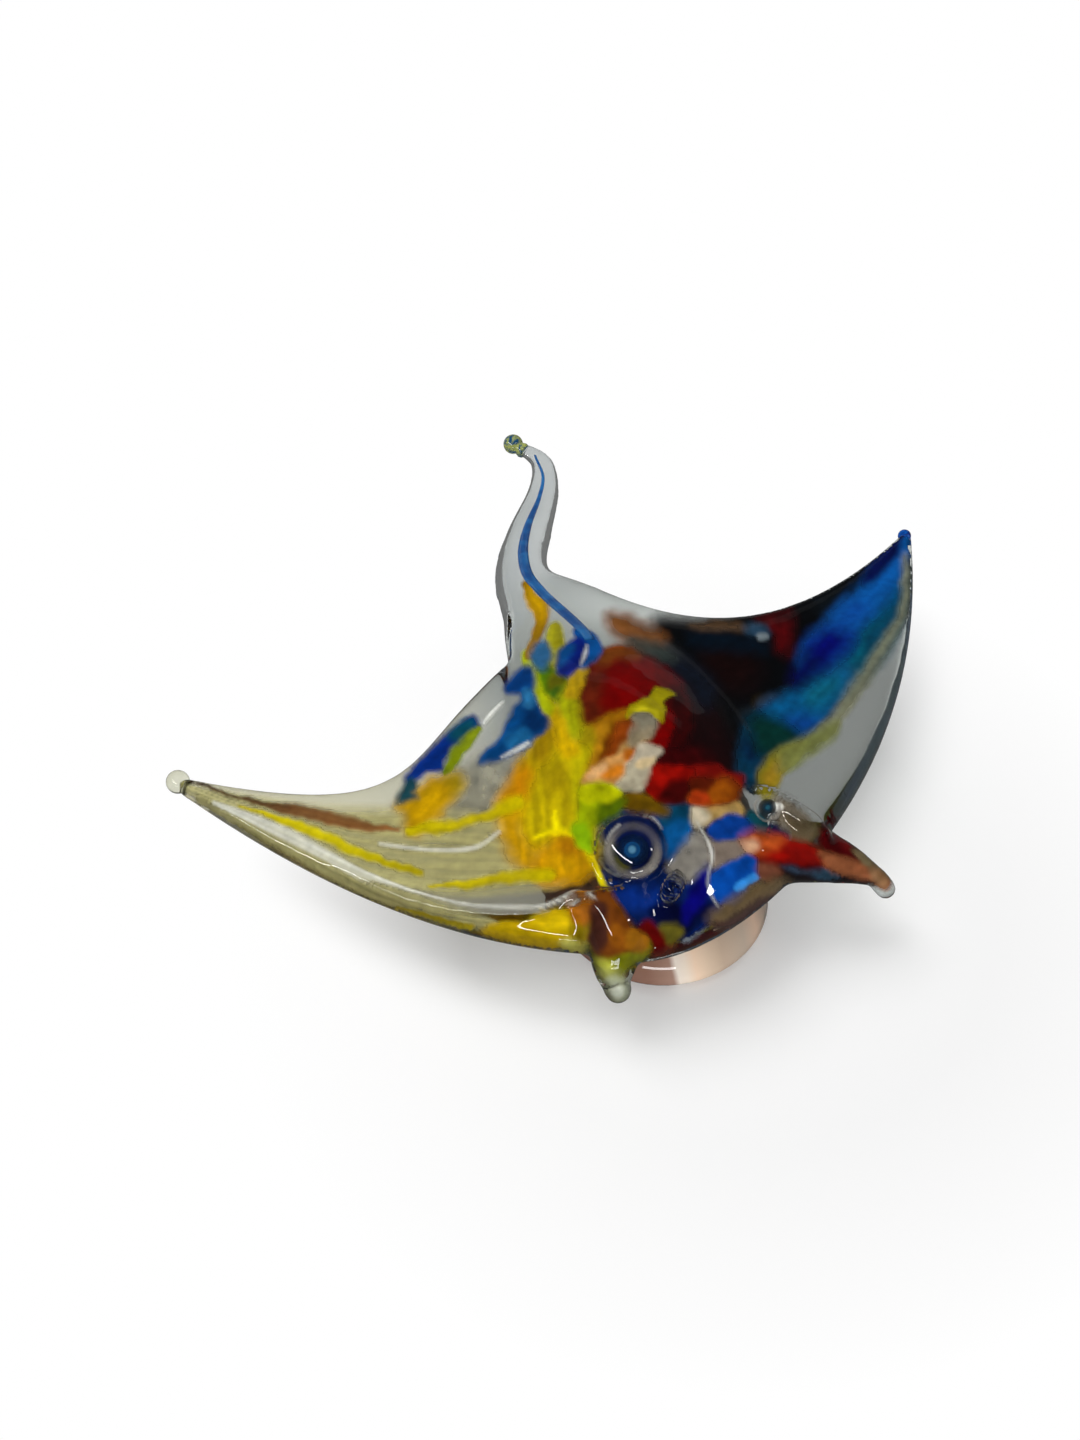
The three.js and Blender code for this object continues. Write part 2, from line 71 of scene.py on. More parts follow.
cameraTarget = Vector(photo["target"]) * mm
cameraPlace = cameraTarget + towards(photo["azimuth"], photo["elevation"]) * photo["distance"] * mm
ahead = (cameraTarget - cameraPlace).normalized()
rightward = ahead.cross(zUp).normalized()
upward = rightward.cross(ahead)


def pixelRay(x, y):
    fromMiddle = rightward * (x - photo["width"] / 2) + upward * (photo["height"] / 2 - y)
    return (ahead * photo["focal"] + fromMiddle).normalized()


camera = bpy.data.objects.new("camera", bpy.data.cameras.new("camera"))
camera.data.sensor_width = photo["sensor"]
camera.data.lens = photo["sensor"] * photo["focal"] / photo["height"]
camera.location = cameraPlace
camera.rotation_euler = ahead.to_track_quat("-Z", "Y").to_euler()
bpy.context.scene.collection.objects.link(camera)
bpy.context.scene.camera = camera
bpy.context.scene.view_settings.view_transform = "Standard"


# Materials

def linear(hexColour):
    values = [int(hexColour[i:i + 2], 16) / 255 for i in (0, 2, 4)]
    return tuple(v / 12.92 if v <= 0.04045 else ((v + 0.055) / 1.055) ** 2.4 for v in values) + (1.0,)


def addNode(tree, kind, inputs=None, **settings):
    made = tree.nodes.new(kind)
    for name, value in settings.items():
        setattr(made, name, value)
    for name, value in (inputs or {}).items():
        if isinstance(value, bpy.types.NodeSocket):
            tree.links.new(value, made.inputs[name])
        else:
            made.inputs[name].default_value = value
    return made


def newMaterial(name):
    material = bpy.data.materials.new(name)
    material.use_nodes = True
    material.node_tree.nodes.clear()
    return material, material.node_tree


def endMaterial(tree, shader, letsLampsThrough=None):
    # Soft light reaches the colours inside: lamps pass the clear skin instead of being stopped by it
    if letsLampsThrough:
        through = addNode(tree, "ShaderNodeBsdfTransparent", {"Color": letsLampsThrough})
        lampRay = addNode(tree, "ShaderNodeLightPath").outputs["Is Shadow Ray"]
        mix = addNode(tree, "ShaderNodeMixShader", {0: lampRay, 1: shader, 2: through.outputs[0]})
        shader = mix.outputs[0]
    addNode(tree, "ShaderNodeOutputMaterial", {"Surface": shader})


def setStops(ramp, stops):
    while len(ramp.elements) < len(stops):
        ramp.elements.new(0.5)
    for stop, (position, colour) in zip(ramp.elements, stops):
        stop.position, stop.color = position, linear(colour)


clearSkin = {
    "casing": "f2f5f3",
    # painted shade for the floor seen through the glass, greyest in the middle, ending at -X in the wing's
    # own straw tint
    "shadeAndStrawTints": ((0.0, "acb2ae"), (0.35, "a0a6a2"), (0.5, "888e8a"), (0.65, "949280"), (1.0, "bcb58e")),
    "shadeTintFrom": 40,
    "shadeTintTo": -60,
    # lighter painted shade on the tail
    "tailShadeTint": "a0a5a6",
    "lampTint": "f6f8f6",
    "ripple": 14,
    "rippleDepth": 0.3,
    "tailFrom": 60,
    "tailTo": 82,
}


def firePolishedGlass():
    # Soda glass left from the flame: smooth and faintly rippled, clear on faces turned up; faces turned down
    # take a painted grey shade for the shadowed floor seen through, greyest in the middle, and turn towards
    # -X into the wing's own straw tint
    material, tree = newMaterial("soda glass, fire-polished")
    place = addNode(tree, "ShaderNodeTexCoord").outputs["Object"]
    ripple = addNode(tree, "ShaderNodeTexNoise", {
        "Vector": place,
        "Scale": 1 / (clearSkin["ripple"] * mm),
        "Detail": 1.0,
    })
    bump = addNode(tree, "ShaderNodeBump", {
        "Height": ripple.outputs[0],
        "Distance": clearSkin["rippleDepth"] * mm,
        "Strength": 0.6,
    })
    across = addNode(tree, "ShaderNodeSeparateXYZ", {"Vector": place})
    toWing = addNode(tree, "ShaderNodeMapRange", {
        "Value": across.outputs["X"],
        "From Min": clearSkin["shadeTintFrom"] * mm,
        "From Max": clearSkin["shadeTintTo"] * mm,
    })
    shadeAndStraw = addNode(tree, "ShaderNodeValToRGB", {"Fac": toWing.outputs[0]})
    setStops(shadeAndStraw.color_ramp, clearSkin["shadeAndStrawTints"])
    toTail = addNode(tree, "ShaderNodeMapRange", {
        "Value": across.outputs["Y"],
        "From Min": clearSkin["tailFrom"] * mm,
        "From Max": clearSkin["tailTo"] * mm,
    })
    shadeAndStraw = addNode(tree, "ShaderNodeMixRGB", {
        "Fac": toTail.outputs[0],
        "Color1": shadeAndStraw.outputs[0],
        "Color2": linear(clearSkin["tailShadeTint"]),
    })
    # painted shade: how much of the grey tint a face takes, by how far it turns down
    under = addNode(tree, "ShaderNodeAttribute", attribute_name="under").outputs["Fac"]
    tint = addNode(tree, "ShaderNodeMixRGB", {
        "Fac": under,
        "Color1": linear(clearSkin["casing"]),
        "Color2": shadeAndStraw.outputs[0],
    })
    glass = addNode(tree, "ShaderNodeBsdfPrincipled", {
        "Base Color": tint.outputs[0],
        "Roughness": 0.02,
        "IOR": 1.5,
        "Transmission Weight": 1.0,
        "Normal": bump.outputs[0],
    })
    endMaterial(tree, glass.outputs[0], linear(clearSkin["lampTint"]))
    return material


dropGlass = {"tint": "ccccb4", "lampTint": "f0f0e2", "cords": 3}


def nippedGlass():
    # A small bit of soda glass: no ripple at its size, only faint cords of tint
    material, tree = newMaterial("soda glass, nipped drop")
    place = addNode(tree, "ShaderNodeTexCoord").outputs["Object"]
    cords = addNode(tree, "ShaderNodeTexNoise", {
        "Vector": place,
        "Scale": 1 / (dropGlass["cords"] * mm),
        "Detail": 1.0,
    })
    shades = addNode(tree, "ShaderNodeMixRGB", {
        "Fac": cords.outputs[0],
        "Color1": linear(dropGlass["tint"]),
        "Color2": linear(dropGlass["lampTint"]),
    })
    glass = addNode(tree, "ShaderNodeBsdfPrincipled", {
        "Base Color": shades.outputs[0],
        "Roughness": 0.02,
        "IOR": 1.5,
        "Transmission Weight": 1.0,
    })
    endMaterial(tree, glass.outputs[0], linear(dropGlass["lampTint"]))
    return material


footPinkAndPaintedLight = {
    "from": -24,
    "to": 24,
    "cords": 9,
    "wander": 2,
    "stops": (
        # painted across X: darker mauve towards -X, a bright cream band of painted light, the pink and grey
        # tones, a painted highlight at the +X rim
        (0.0, "8a6258"), (0.24, "96705f"), (0.335, "ab8878"), (0.36, "fbeee0"),
        (0.4, "fcebd8"), (0.44, "fbdcc0"), (0.5, "e4cab0"), (0.58, "c8b09a"),
        (0.7, "c0ae9c"), (0.78, "d8b8a0"), (0.86, "a89888"), (1.0, "e8d8cc"),
    ),
}


def pressedPinkGlass():
    # Milky pink glass pressed into a pad, with light painted across it: a pale cream band for light coming up
    # through it, darker mauve towards -X, a painted highlight at the +X rim
    material, tree = newMaterial("milky pink glass, pressed")
    place = addNode(tree, "ShaderNodeTexCoord").outputs["Object"]
    cords = addNode(tree, "ShaderNodeTexNoise", {
        "Vector": place,
        "Scale": 1 / (footPinkAndPaintedLight["cords"] * mm),
        "Detail": 2.0,
    })
    across = addNode(tree, "ShaderNodeSeparateXYZ", {"Vector": place})
    wander = addNode(tree, "ShaderNodeMath", {
        0: cords.outputs[0],
        1: footPinkAndPaintedLight["wander"] * mm,
        2: -footPinkAndPaintedLight["wander"] / 2 * mm,
    }, operation="MULTIPLY_ADD")
    moved = addNode(tree, "ShaderNodeMath", {0: across.outputs["X"], 1: wander.outputs[0]}, operation="ADD")
    share = addNode(tree, "ShaderNodeMapRange", {
        "Value": moved.outputs[0],
        "From Min": footPinkAndPaintedLight["from"] * mm,
        "From Max": footPinkAndPaintedLight["to"] * mm,
    })
    shades = addNode(tree, "ShaderNodeValToRGB", {"Fac": share.outputs[0]})
    setStops(shades.color_ramp, footPinkAndPaintedLight["stops"])
    glass = addNode(tree, "ShaderNodeBsdfPrincipled", {
        "Base Color": shades.outputs[0],
        "Roughness": 0.04,
        "IOR": 1.5,
        "Transmission Weight": 0.08,
        "Coat Weight": 0.5,
        "Coat Roughness": 0.02,
    })
    endMaterial(tree, glass.outputs[0])
    return material


# the last two give a painted reflection of the white floor on faces turned down: its pale grey and its most
# share
grain = {"size": 2.2, "darkest": 0.82, "lightest": 1.18, "milk": "a4acae", "paintedReflectionShare": 0.65}
paintedReflectionColours = ("cobalt", "teal", "green", "black")  # deep colours whose faces turned down take a painted reflection of the white floor


def casedColour(name, paintedReflectionShare=0.0):
    # Colour bar crushed and melted under the casing: its tone runs into its neighbours', with a fine grain
    material, tree = newMaterial(name)
    place = addNode(tree, "ShaderNodeTexCoord")
    specks = addNode(tree, "ShaderNodeTexNoise", {
        "Vector": place.outputs["Object"],
        "Scale": 1 / (grain["size"] * mm),
        "Detail": 3.0,
    })
    depth = addNode(tree, "ShaderNodeMapRange", {
        "Value": specks.outputs[0],
        "From Min": 0.25,
        "From Max": 0.75,
        "To Min": grain["darkest"],
        "To Max": grain["lightest"],
    })
    tone = addNode(tree, "ShaderNodeAttribute", attribute_name="tone").outputs["Color"]
    shades = addNode(tree, "ShaderNodeMixRGB", {
        "Fac": 1.0,
        "Color1": tone,
        "Color2": depth.outputs[0],
    }, blend_type="MULTIPLY", use_clamp=True)
    # painted reflection: faces turned down fade towards pale grey, standing for the white floor seen in the
    # edges
    facing = addNode(tree, "ShaderNodeSeparateXYZ", {"Vector": place.outputs["Normal"]})
    below = addNode(tree, "ShaderNodeMapRange", {
        "Value": facing.outputs["Z"],
        "From Min": 0.0,
        "From Max": -0.5,
        "To Max": paintedReflectionShare,
    })
    shades = addNode(tree, "ShaderNodeMixRGB", {
        "Fac": below.outputs[0],
        "Color1": shades.outputs[0],
        "Color2": linear(grain["milk"]),
    })
    cover = addNode(tree, "ShaderNodeAttribute", attribute_name="cover").outputs["Fac"]
    glass = addNode(tree, "ShaderNodeBsdfPrincipled", {
        "Base Color": shades.outputs[0],
        "Roughness": 0.5,
        "Specular IOR Level": 0.0,
        "Alpha": cover,
    })
    endMaterial(tree, glass.outputs[0])
    return material


swirlFrom, swirlTo = 0.4, 0.6  # of the noise: deep below, bright above


def solidColour(name, deep, bright, swirl):
    # Opaque colour under a skin of its own clear glass: soft swirls inside, the surface stays wet-looking
    material, tree = newMaterial(name)
    place = addNode(tree, "ShaderNodeTexCoord").outputs["Object"]
    swirls = addNode(tree, "ShaderNodeTexNoise", {
        "Vector": place,
        "Scale": 1 / (swirl * mm),
        "Detail": 2.0,
        "Distortion": 1.0,
    })
    shades = addNode(tree, "ShaderNodeValToRGB", {"Fac": swirls.outputs[0]})
    setStops(shades.color_ramp, ((swirlFrom, deep), (swirlTo, bright)))
    glass = addNode(tree, "ShaderNodeBsdfPrincipled", {
        "Base Color": shades.outputs[0],
        "Roughness": 0.06,
        "IOR": 1.5,
        "Coat Weight": 1.0,
        "Coat Roughness": 0.02,
    })
    endMaterial(tree, glass.outputs[0])
    return material


# Glass bars that are drawn into trails: deep end, bright end, and how much they hide
palette = {
    "amber": ("7a5402", "e4ae02", 0.95),
    "yellow": ("8a7602", "eedc02", 0.97),
    "lime": ("3c5404", "b8c404", 0.95),
    "brown": ("301408", "a06434", 0.92),
    "straw": ("7c7444", "d0c890", 0.75),
    # silver is milky glass, and also carries painted highlights and reflections: the rim's line, the head's
    # crease, the wing root and arcs on the big eye
    "silver": ("9c9a90", "f4f2ec", 0.75),
}
barNames = {
    "ruby": "ruby glass",
    "maroon": "dark ruby glass",
    "black": "near-black ruby glass",
    "orange": "orange glass",
    "amber": "amber glass",
    "yellow": "yellow glass",
    "lime": "yellow-green glass",
    "green": "dark green glass",
    "teal": "teal glass",
    "cobalt": "cobalt glass",
    "ivory": "ivory glass",
    "peach": "peach glass",
    "brown": "brown glass",
    "straw": "straw-coloured glass",
    # the milky glass also carries painted highlights and reflections
    "silver": "milky glass",
}
drawnThin = ("straw", "silver")
glass = {
    "clear": firePolishedGlass(),
    "drop": nippedGlass(),
    "pink": pressedPinkGlass(),
}
for colour, barName in barNames.items():
    how = ", drawn thin" if colour in drawnThin else ", cased"
    glass[colour] = casedColour(barName + how, grain["paintedReflectionShare"] if colour in paintedReflectionColours else 0.0)
print("materials ready:", len(bpy.data.materials))


# Shapes

weldGap = 0.001 * mm
nearEnd = 0.9999  # a share just short of the end
bearing = 0.01  # share of a route to each side, over which its direction is taken


def nodeBox(node):
    low, high = (Vector(corner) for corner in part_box(node))
    return (low + high) / 2, (high - low) / 2


def newPiece(name, shape, material, slot, *nodes):
    mesh = bpy.data.meshes.new(name)
    shape.to_mesh(mesh)
    shape.free()
    mesh.materials.append(material)
    mesh.polygons.foreach_set("use_smooth", [True] * len(mesh.polygons))
    piece = bpy.data.objects.new(name, mesh)
    bpy.context.scene.collection.objects.link(piece)
    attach(piece, "root")
    if nodes:
        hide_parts(*nodes)
    return piece


def bezier(points, t):
    while len(points) > 1:
        points = [a.lerp(b, t) for a, b in zip(points, points[1:])]
    return points[0]


def throughPoints(points, t):
    last = len(points) - 1
    start = min(int(t * last), last - 1)
    f = t * last - start
    a, b, c, d = (points[min(max(start + k, 0), last)] for k in (-1, 0, 1, 2))
    square = 2 * a - 5 * b + 4 * c - d
    cube = 3 * b - a - 3 * c + d
    return 0.5 * (2 * b + (c - a) * f + square * f ** 2 + cube * f ** 3)


def evenRoute(points, samples=200, plane=False):
    # A function of the share of the length, so that tapers follow real distance
    fine = [throughPoints(points, i / samples) for i in range(samples + 1)]
    reached = [0.0]
    for a, b in zip(fine, fine[1:]):
        step = b - a
        reached.append(reached[-1] + (step.xy.length if plane else step.length))

    def at(share):
        wanted = min(max(share, 0.0), 1.0) * reached[-1]
        k = next((i for i in range(samples) if reached[i + 1] >= wanted), samples - 1)
        step = reached[k + 1] - reached[k] or 1.0
        return fine[k].lerp(fine[k + 1], (wanted - reached[k]) / step)

    at.length = reached[-1]
    return at


def closeUp(shape, verts):
    bmesh.ops.remove_doubles(shape, verts=verts, dist=weldGap)
    rims = [edge for edge in shape.edges if edge.is_boundary]
    bmesh.ops.holes_fill(shape, edges=rims, sides=0)
    bmesh.ops.recalc_face_normals(shape, faces=shape.faces)


def drawnRod(shape, route, sectionAt, steps, sides):
    # Grid rolled into a tube: sectionAt(share) gives the half width and half height of the section
    made = bmesh.ops.create_grid(shape, x_segments=steps, y_segments=sides, size=1)["verts"]
    for vert in made:
        share, angle = (vert.co.x + 1) / 2, vert.co.y * math.pi
        centre = route(share)
        onward = (route(share + bearing) - route(share - bearing)).normalized()
        side = onward.cross(zUp).normalized()
        rise = side.cross(onward)
        wide, high = sectionAt(share)
        vert.co = (centre + side * wide * math.cos(angle) + rise * high * math.sin(angle)) * mm
    closeUp(shape, made)


def tapered(rod, flatness):
    def section(share):
        radius = rod["tipRadius"] + (rod["rootRadius"] - rod["tipRadius"]) * (1 - share) ** rod["taper"]
        return radius, radius * flatness

    return section


# Body: one skin of clear glass over wings, back and tail

plan = {
    "rightWing": {
        "corner": (-25, -19), "bow": (-58.8, 0), "tip": (-84, 60.5),
        "root": (-8, 56), "dip": (-42, 42.9), "sweep": (-38.6, 23.4),
    },
    "leftWing": {
        "corner": (32, -15), "bow": (71.9, 8.5), "tip": (98.5, 59),
        "root": (15, 76.5), "dip": (32.5, 44.6), "sweep": (56.1, 40.2),
    },
    "tipWidth": 2.6,
    "snoutPull": ((-13, -34), (14, -25.5)),
    "tailRootPull": (1, 90),
    "bodyShare": 0.3,
}
body = {
    "thick": 13,
    "tipThick": 3.6,
    "rim": 1.6,
    "fullness": 4,  # the higher, the blunter the two edges
    "thinning": 1.3,
    "trailThinning": 0.35,
    "middle": 18,
    "tipMiddle": 11,
    "droop": 1.5,
    "hump": {"height": 12, "halfWidth": 30, "halfLength": 52, "at": (2, 14)},
    "casing": 4,
    "spanSteps": 160,
    "aroundSteps": 72,
    "voxel": 0.6,
    "smoothing": 8,
}
tail = {
    "route": [
        (3.5, 62, 18), (6.5, 80, 17.5), (13.6, 92.5, 17),
        (22.8, 104, 18), (26.2, 112.5, 19.5), (22.8, 119, 20.5),
    ],
    "rootRadius": 8.6,
    "tipRadius": 1.7,
    "taper": 0.85,
    "flatness": 0.6,
    "rootSmoothing": 24,
    "rootReach": 16,
    "crook": (12, 79, 18),
    "crookReaches": (6, 7, 8, 9, 10, 11, 12, 13),  # widening, so that the softening fades outwards
    "crookSmoothing": 10,
}


def wingEdges(wing):
    at = {name: Vector(place) for name, place in wing.items()}
    outward = (at["tip"] - at["bow"]).normalized()
    across = Vector((-outward.y, outward.x)) * plan["tipWidth"] / 2
    if across.dot(at["sweep"] - at["bow"]) < 0:
        across.negate()
    lead = [at["corner"], at["bow"], at["tip"] - across]
    trail = [at["root"], at["dip"], at["sweep"], at["tip"] + across]
    return lead, trail


rightEdges, leftEdges = wingEdges(plan["rightWing"]), wingEdges(plan["leftWing"])
snout = [Vector(place) for place in plan["snoutPull"]]
middleEdges = (
    [rightEdges[0][0], *snout, leftEdges[0][0]],
    [rightEdges[1][0], Vector(plan["tailRootPull"]), leftEdges[1][0]],
)


def bodyPoint(span, chord, upper):
    share = plan["bodyShare"]
    out = max(0.0, (abs(span) - share) / (1 - share))
    edges = middleEdges if out == 0 else rightEdges if span < 0 else leftEdges
    along = out or (span + share) / (2 * share)
    place = bezier(edges[0], along).lerp(bezier(edges[1], along), chord)
    full = body["tipThick"] + (body["thick"] - body["tipThick"]) * (1 - out) ** body["thinning"]
    rounding = math.sqrt(max(0.0, 1 - (2 * chord - 1) ** body["fullness"]))
    half = (full * rounding * (1 - body["trailThinning"] * chord) + body["rim"]) / 2
    middle = body["middle"] + (body["tipMiddle"] - body["middle"]) * out ** body["droop"]
    hump = body["hump"]
    fromHump = ((place.x - hump["at"][0]) / hump["halfWidth"]) ** 2
    fromHump += ((place.y - hump["at"][1]) / hump["halfLength"]) ** 2
    raised = hump["height"] * max(0.0, 1 - fromHump) ** 2
    if chord > nearEnd:
        height = middle
    else:
        height = middle + half + raised if upper else middle - half
    return Vector((place.x, place.y, height))


def bodyLoft(shape):
    spanSteps, aroundSteps = body["spanSteps"], body["aroundSteps"]
    made = bmesh.ops.create_grid(shape, x_segments=spanSteps, y_segments=aroundSteps, size=1)["verts"]
    for vert in made:
        span, around = vert.co.x, vert.co.y
        chord = (1 - math.cos(math.pi * abs(around))) / 2
        vert.co = bodyPoint(span, chord, around < 0) * mm
    closeUp(shape, made)


fins = {
    "right": {
        "corner": plan["rightWing"]["corner"],
        "route": [(9, 6, 4.5), (6.5, 0.5, 3.5), (3.8, -4.5, -1.2), (3.4, -6.3, -6.6)],
        "rootRadius": 8.5,
        "tipRadius": 2.4,
        "taper": 0.8,
    },
    "left": {
        "corner": plan["leftWing"]["corner"],
        "route": [(-12, 4, 2), (-5, -3, 1.4), (2, -8.3, -0.7), (7.5, -11.3, -5)],
        "rootRadius": 10.5,
        "tipRadius": 2.0,
        "taper": 1.15,
    },
}
finShape = {"flatness": 0.8, "rootAt": 0.3, "smoothing": 20, "reach": 9}


def finRoute(fin):
    base = Vector((*fin["corner"], body["middle"]))
    return evenRoute([base + Vector(place) for place in fin["route"]])


drops = {
    "right": {"at": (618, 990), "neck": 3.3, "radius": 2.85},
    "left": {"at": (885.3, 888.5), "neck": 2.2, "radius": 2.3},
}
neckAlongFin = (0.7, 0.9)  # shares of the fin's length that the drop's neck runs through


def hangDrop(shape, side):
    # The end of the fin runs on and hangs as a clear drop
    drop = drops[side]
    nodeCentre, _ = nodeBox(side + "_fin_drop")
    sight = pixelRay(*drop["at"])
    centre = cameraPlace + sight * (nodeCentre - cameraPlace).dot(sight)
    fin = finRoute(fins[side])

    def section(share):
        radius = drop["neck"] + (drop["radius"] - drop["neck"]) * share
        return radius, radius

    neck = [fin(share) for share in neckAlongFin]
    drawnRod(shape, evenRoute([*neck, centre / mm]), section, steps=16, sides=24)
    place = Matrix.Translation(centre)
    bmesh.ops.create_uvsphere(shape, u_segments=32, v_segments=16, radius=drop["radius"] * mm, matrix=place)


def fuse(shape, voxel):
    # Melts overlapping closed shapes into one skin
    mesh = bpy.data.meshes.new("melt")
    shape.to_mesh(mesh)
    shape.free()
    melt = bpy.data.objects.new("melt", mesh)
    bpy.context.scene.collection.objects.link(melt)
    remesh = melt.modifiers.new("melt", "REMESH")
    remesh.mode = "VOXEL"
    remesh.voxel_size = voxel * mm
    evaluated = melt.evaluated_get(bpy.context.evaluated_depsgraph_get())
    fused = bmesh.new()
    fused.from_mesh(evaluated.to_mesh())
    evaluated.to_mesh_clear()
    bpy.data.objects.remove(melt)
    return fused


def joinInto(target, source):
    mesh = bpy.data.meshes.new("join")
    source.to_mesh(mesh)
    source.free()
    target.from_mesh(mesh)
    bpy.data.meshes.remove(mesh)


def soften(shape, verts, rounds):
    for _ in range(rounds):
        bmesh.ops.smooth_vert(
            shape, verts=verts, factor=0.5, use_axis_x=True, use_axis_y=True, use_axis_z=True,
        )


def near(shape, place, reach):
    return [vert for vert in shape.verts if (vert.co - place * mm).length < reach * mm]


eyes = {
    "right": {"at": (631.5, 849), "radius": 7.4, "rise": 4.6},
    "left": {"at": (768, 807), "radius": 3.6, "rise": 2.4},
}
rolls = {
    "rim": {
        "pixels": [
            (330, 858), (380, 884), (416, 897), (451, 905), (496, 909), (532, 907),
            (559, 901), (580, 897), (597, 901), (607, 914), (610, 932),
        ],
        "radius": 1.8,
        "flat": 0.5,
        "proud": 0.0,
    },
    "brow": {
        "pixels": [(748, 790), (770, 803), (796, 818), (818, 834), (832, 846)],
        "radius": 2.6,
        "flat": 1,
        "proud": 0.6,
    },
    "cheek": {
        "pixels": [(664, 884), (672, 888), (680, 893)],
        "radius": 3.4,
        "flat": 1,
        "proud": 0.2,
    },
}
rollEnds = {"radius": 0.3, "bluntness": 4}
lensRolls = ("brow", "cheek")


def skinPoint(tree, x, y):
    hit, normal, _, _ = tree.ray_cast(cameraPlace, pixelRay(x, y))
    return hit, normal


def layRoll(shape, tree, roll):
    # A trail of clear glass laid on the skin and half melted into it
    places = []
    for x, y in roll["pixels"]:
        hit, normal = skinPoint(tree, x, y)
        if hit is not None:
            places.append(hit / mm + normal * roll["proud"])

    def section(share):
        radius = roll["radius"] * (1 - abs(2 * share - 1) ** rollEnds["bluntness"]) + rollEnds["radius"]
        return radius, radius * roll["flat"]

    drawnRod(shape, evenRoute(places), section, steps=80, sides=16)


def swell(shape, tree, eye):
    # The clear dome of an eye, flattened along the skin's own normal
    hit, normal = skinPoint(tree, *eye["at"])
    turn = normal.to_track_quat("Z", "Y").to_matrix()
    bmesh.ops.create_uvsphere(shape, u_segments=48, v_segments=24, radius=1)
    for vert in shape.verts:
        domed = Vector((vert.co.x * eye["radius"], vert.co.y * eye["radius"], vert.co.z * eye["rise"]))
        vert.co = hit + turn @ domed * mm


def melted(shape):
    skin = fuse(shape, body["voxel"])
    soften(skin, skin.verts, body["smoothing"])
    soften(skin, near(skin, Vector(tail["route"][0]), tail["rootReach"]), tail["rootSmoothing"])
    for reach in tail["crookReaches"]:
        soften(skin, near(skin, Vector(tail["crook"]), reach), tail["crookSmoothing"])
    for fin in fins.values():
        root = finRoute(fin)(finShape["rootAt"])
        soften(skin, near(skin, root, finShape["reach"]), finShape["smoothing"])
    return skin


undersideShade = {"level": 0.5, "slope": 1.6}  # painted shade: how much grey tint upright glass takes, and how fast it grows on faces turned down
loft = bmesh.new()
bodyLoft(loft)
tailRod = bmesh.new()
tailRoute = evenRoute([Vector(place) for place in tail["route"]])
drawnRod(tailRod, tailRoute, tapered(tail, tail["flatness"]), steps=60, sides=24)
joinInto(loft, tailRod)
for side, fin in fins.items():
    finRod = bmesh.new()
    drawnRod(finRod, finRoute(fin), tapered(fin, finShape["flatness"]), steps=32, sides=24)
    hangDrop(finRod, side)
    joinInto(loft, finRod)
plainTree = BVHTree.FromBMesh(loft)
for eye in eyes.values():
    lens = bmesh.new()
    swell(lens, plainTree, eye)
    joinInto(loft, lens)
for name in lensRolls:
    trail = bmesh.new()
    layRoll(trail, plainTree, rolls[name])
    joinInto(loft, trail)
bareSkin = melted(loft.copy())  # as it was before the rim was laid on: the colours lie under this
colourTree = BVHTree.FromBMesh(bareSkin)
bareSkin.free()
trail = bmesh.new()
layRoll(trail, plainTree, rolls["rim"])
joinInto(loft, trail)
skin = melted(loft)
under = skin.verts.layers.float.new("under")
skin.normal_update()
# painted shade: faces turned down get more of the grey tint
for vert in skin.verts:
    vert[under] = min(max(undersideShade["level"] - undersideShade["slope"] * vert.normal.z, 0.0), 1.0)
skinTree = BVHTree.FromBMesh(skin)
print("clear skin faces:", len(skin.faces))
newPiece(
    "clear_body", skin, glass["clear"], "clear",
    "clear_gather", "clear_casing", "right_eye_lens", "left_eye_lens", "right_fin_drop", "left_fin_drop",
)


# Colour chips: blotches and drawn trails over the photograph's pixels, melted into one sheet
# A trail's points each have a half width and a share of the bright end
# Each chip is the part of the sheet where it shows most

sheet = {
    "left": 160, "right": 940, "top": 425, "bottom": 1020,
    "step": 2.0,  # pixels between its points
    "thick": 0.3,
    "tear": 2.0,
    "ior": 1.5,
    "nudge": 0.01,  # inside the skin, where its thickness is measured from
    "leastCover": 0.02,
    "bareCover": 0.001,
    "shades": (0.3, 1.7),  # least and most of a blotch's own colour
    "trailLift": 0.06,
    "trailMost": 1.2,
    "trailStep": 2,  # pixels between the points of a trail
    "trailLeast": 12,
    "ringSteps": 4,
    "snapShares": (0.2, 0.4, 0.6, 0.8),
    "softShare": 1.1,
    "softLeast": 4.0,
    "softMost": 22,
    "swirls": ((60, 3.0), (26, 2.2), (11, 2.0), (5, 0.9)),  # pixels across, pixels of drift
    "swirlSeed": 7,
    "streak": {"length": 150, "width": 9, "finest": 2.5, "strength": 0.55},
    "mottle": {"length": 16, "width": 16, "strength": 0.4},
    "flow": {"length": 60, "width": 8, "strength": 0.36},
    "grow": 2.0,  # pixels that a blotch spreads past its outline
    "edge": 1.7,
}
noise.seed_set(sheet["swirlSeed"])


def underSkin(x, y):
    sight = pixelRay(x, y)
    hit, normal, _, _ = colourTree.ray_cast(cameraPlace, sight)
    if hit is None:
        return None
    bend = 1 / sheet["ior"]
    facing = -normal.dot(sight)
    inward = sight * bend + normal * (bend * facing - math.sqrt(1 - bend ** 2 * (1 - facing ** 2)))
    _, _, _, through = colourTree.ray_cast(hit - normal * sheet["nudge"] * mm, -normal)
    thick = through / mm if through else body["tipThick"]
    depth = thick / (2 + thick / body["casing"])
    return hit + inward * depth * mm / -inward.dot(normal)


def drift(x, y):
    # Hot glass swirls a little, so no edge runs straight
    moved = Vector((0, 0, 0))
    for across, reach in sheet["swirls"]:
        moved += noise.noise_vector((x / across, y / across, across)) * reach
    return x + moved.x, y + moved.y


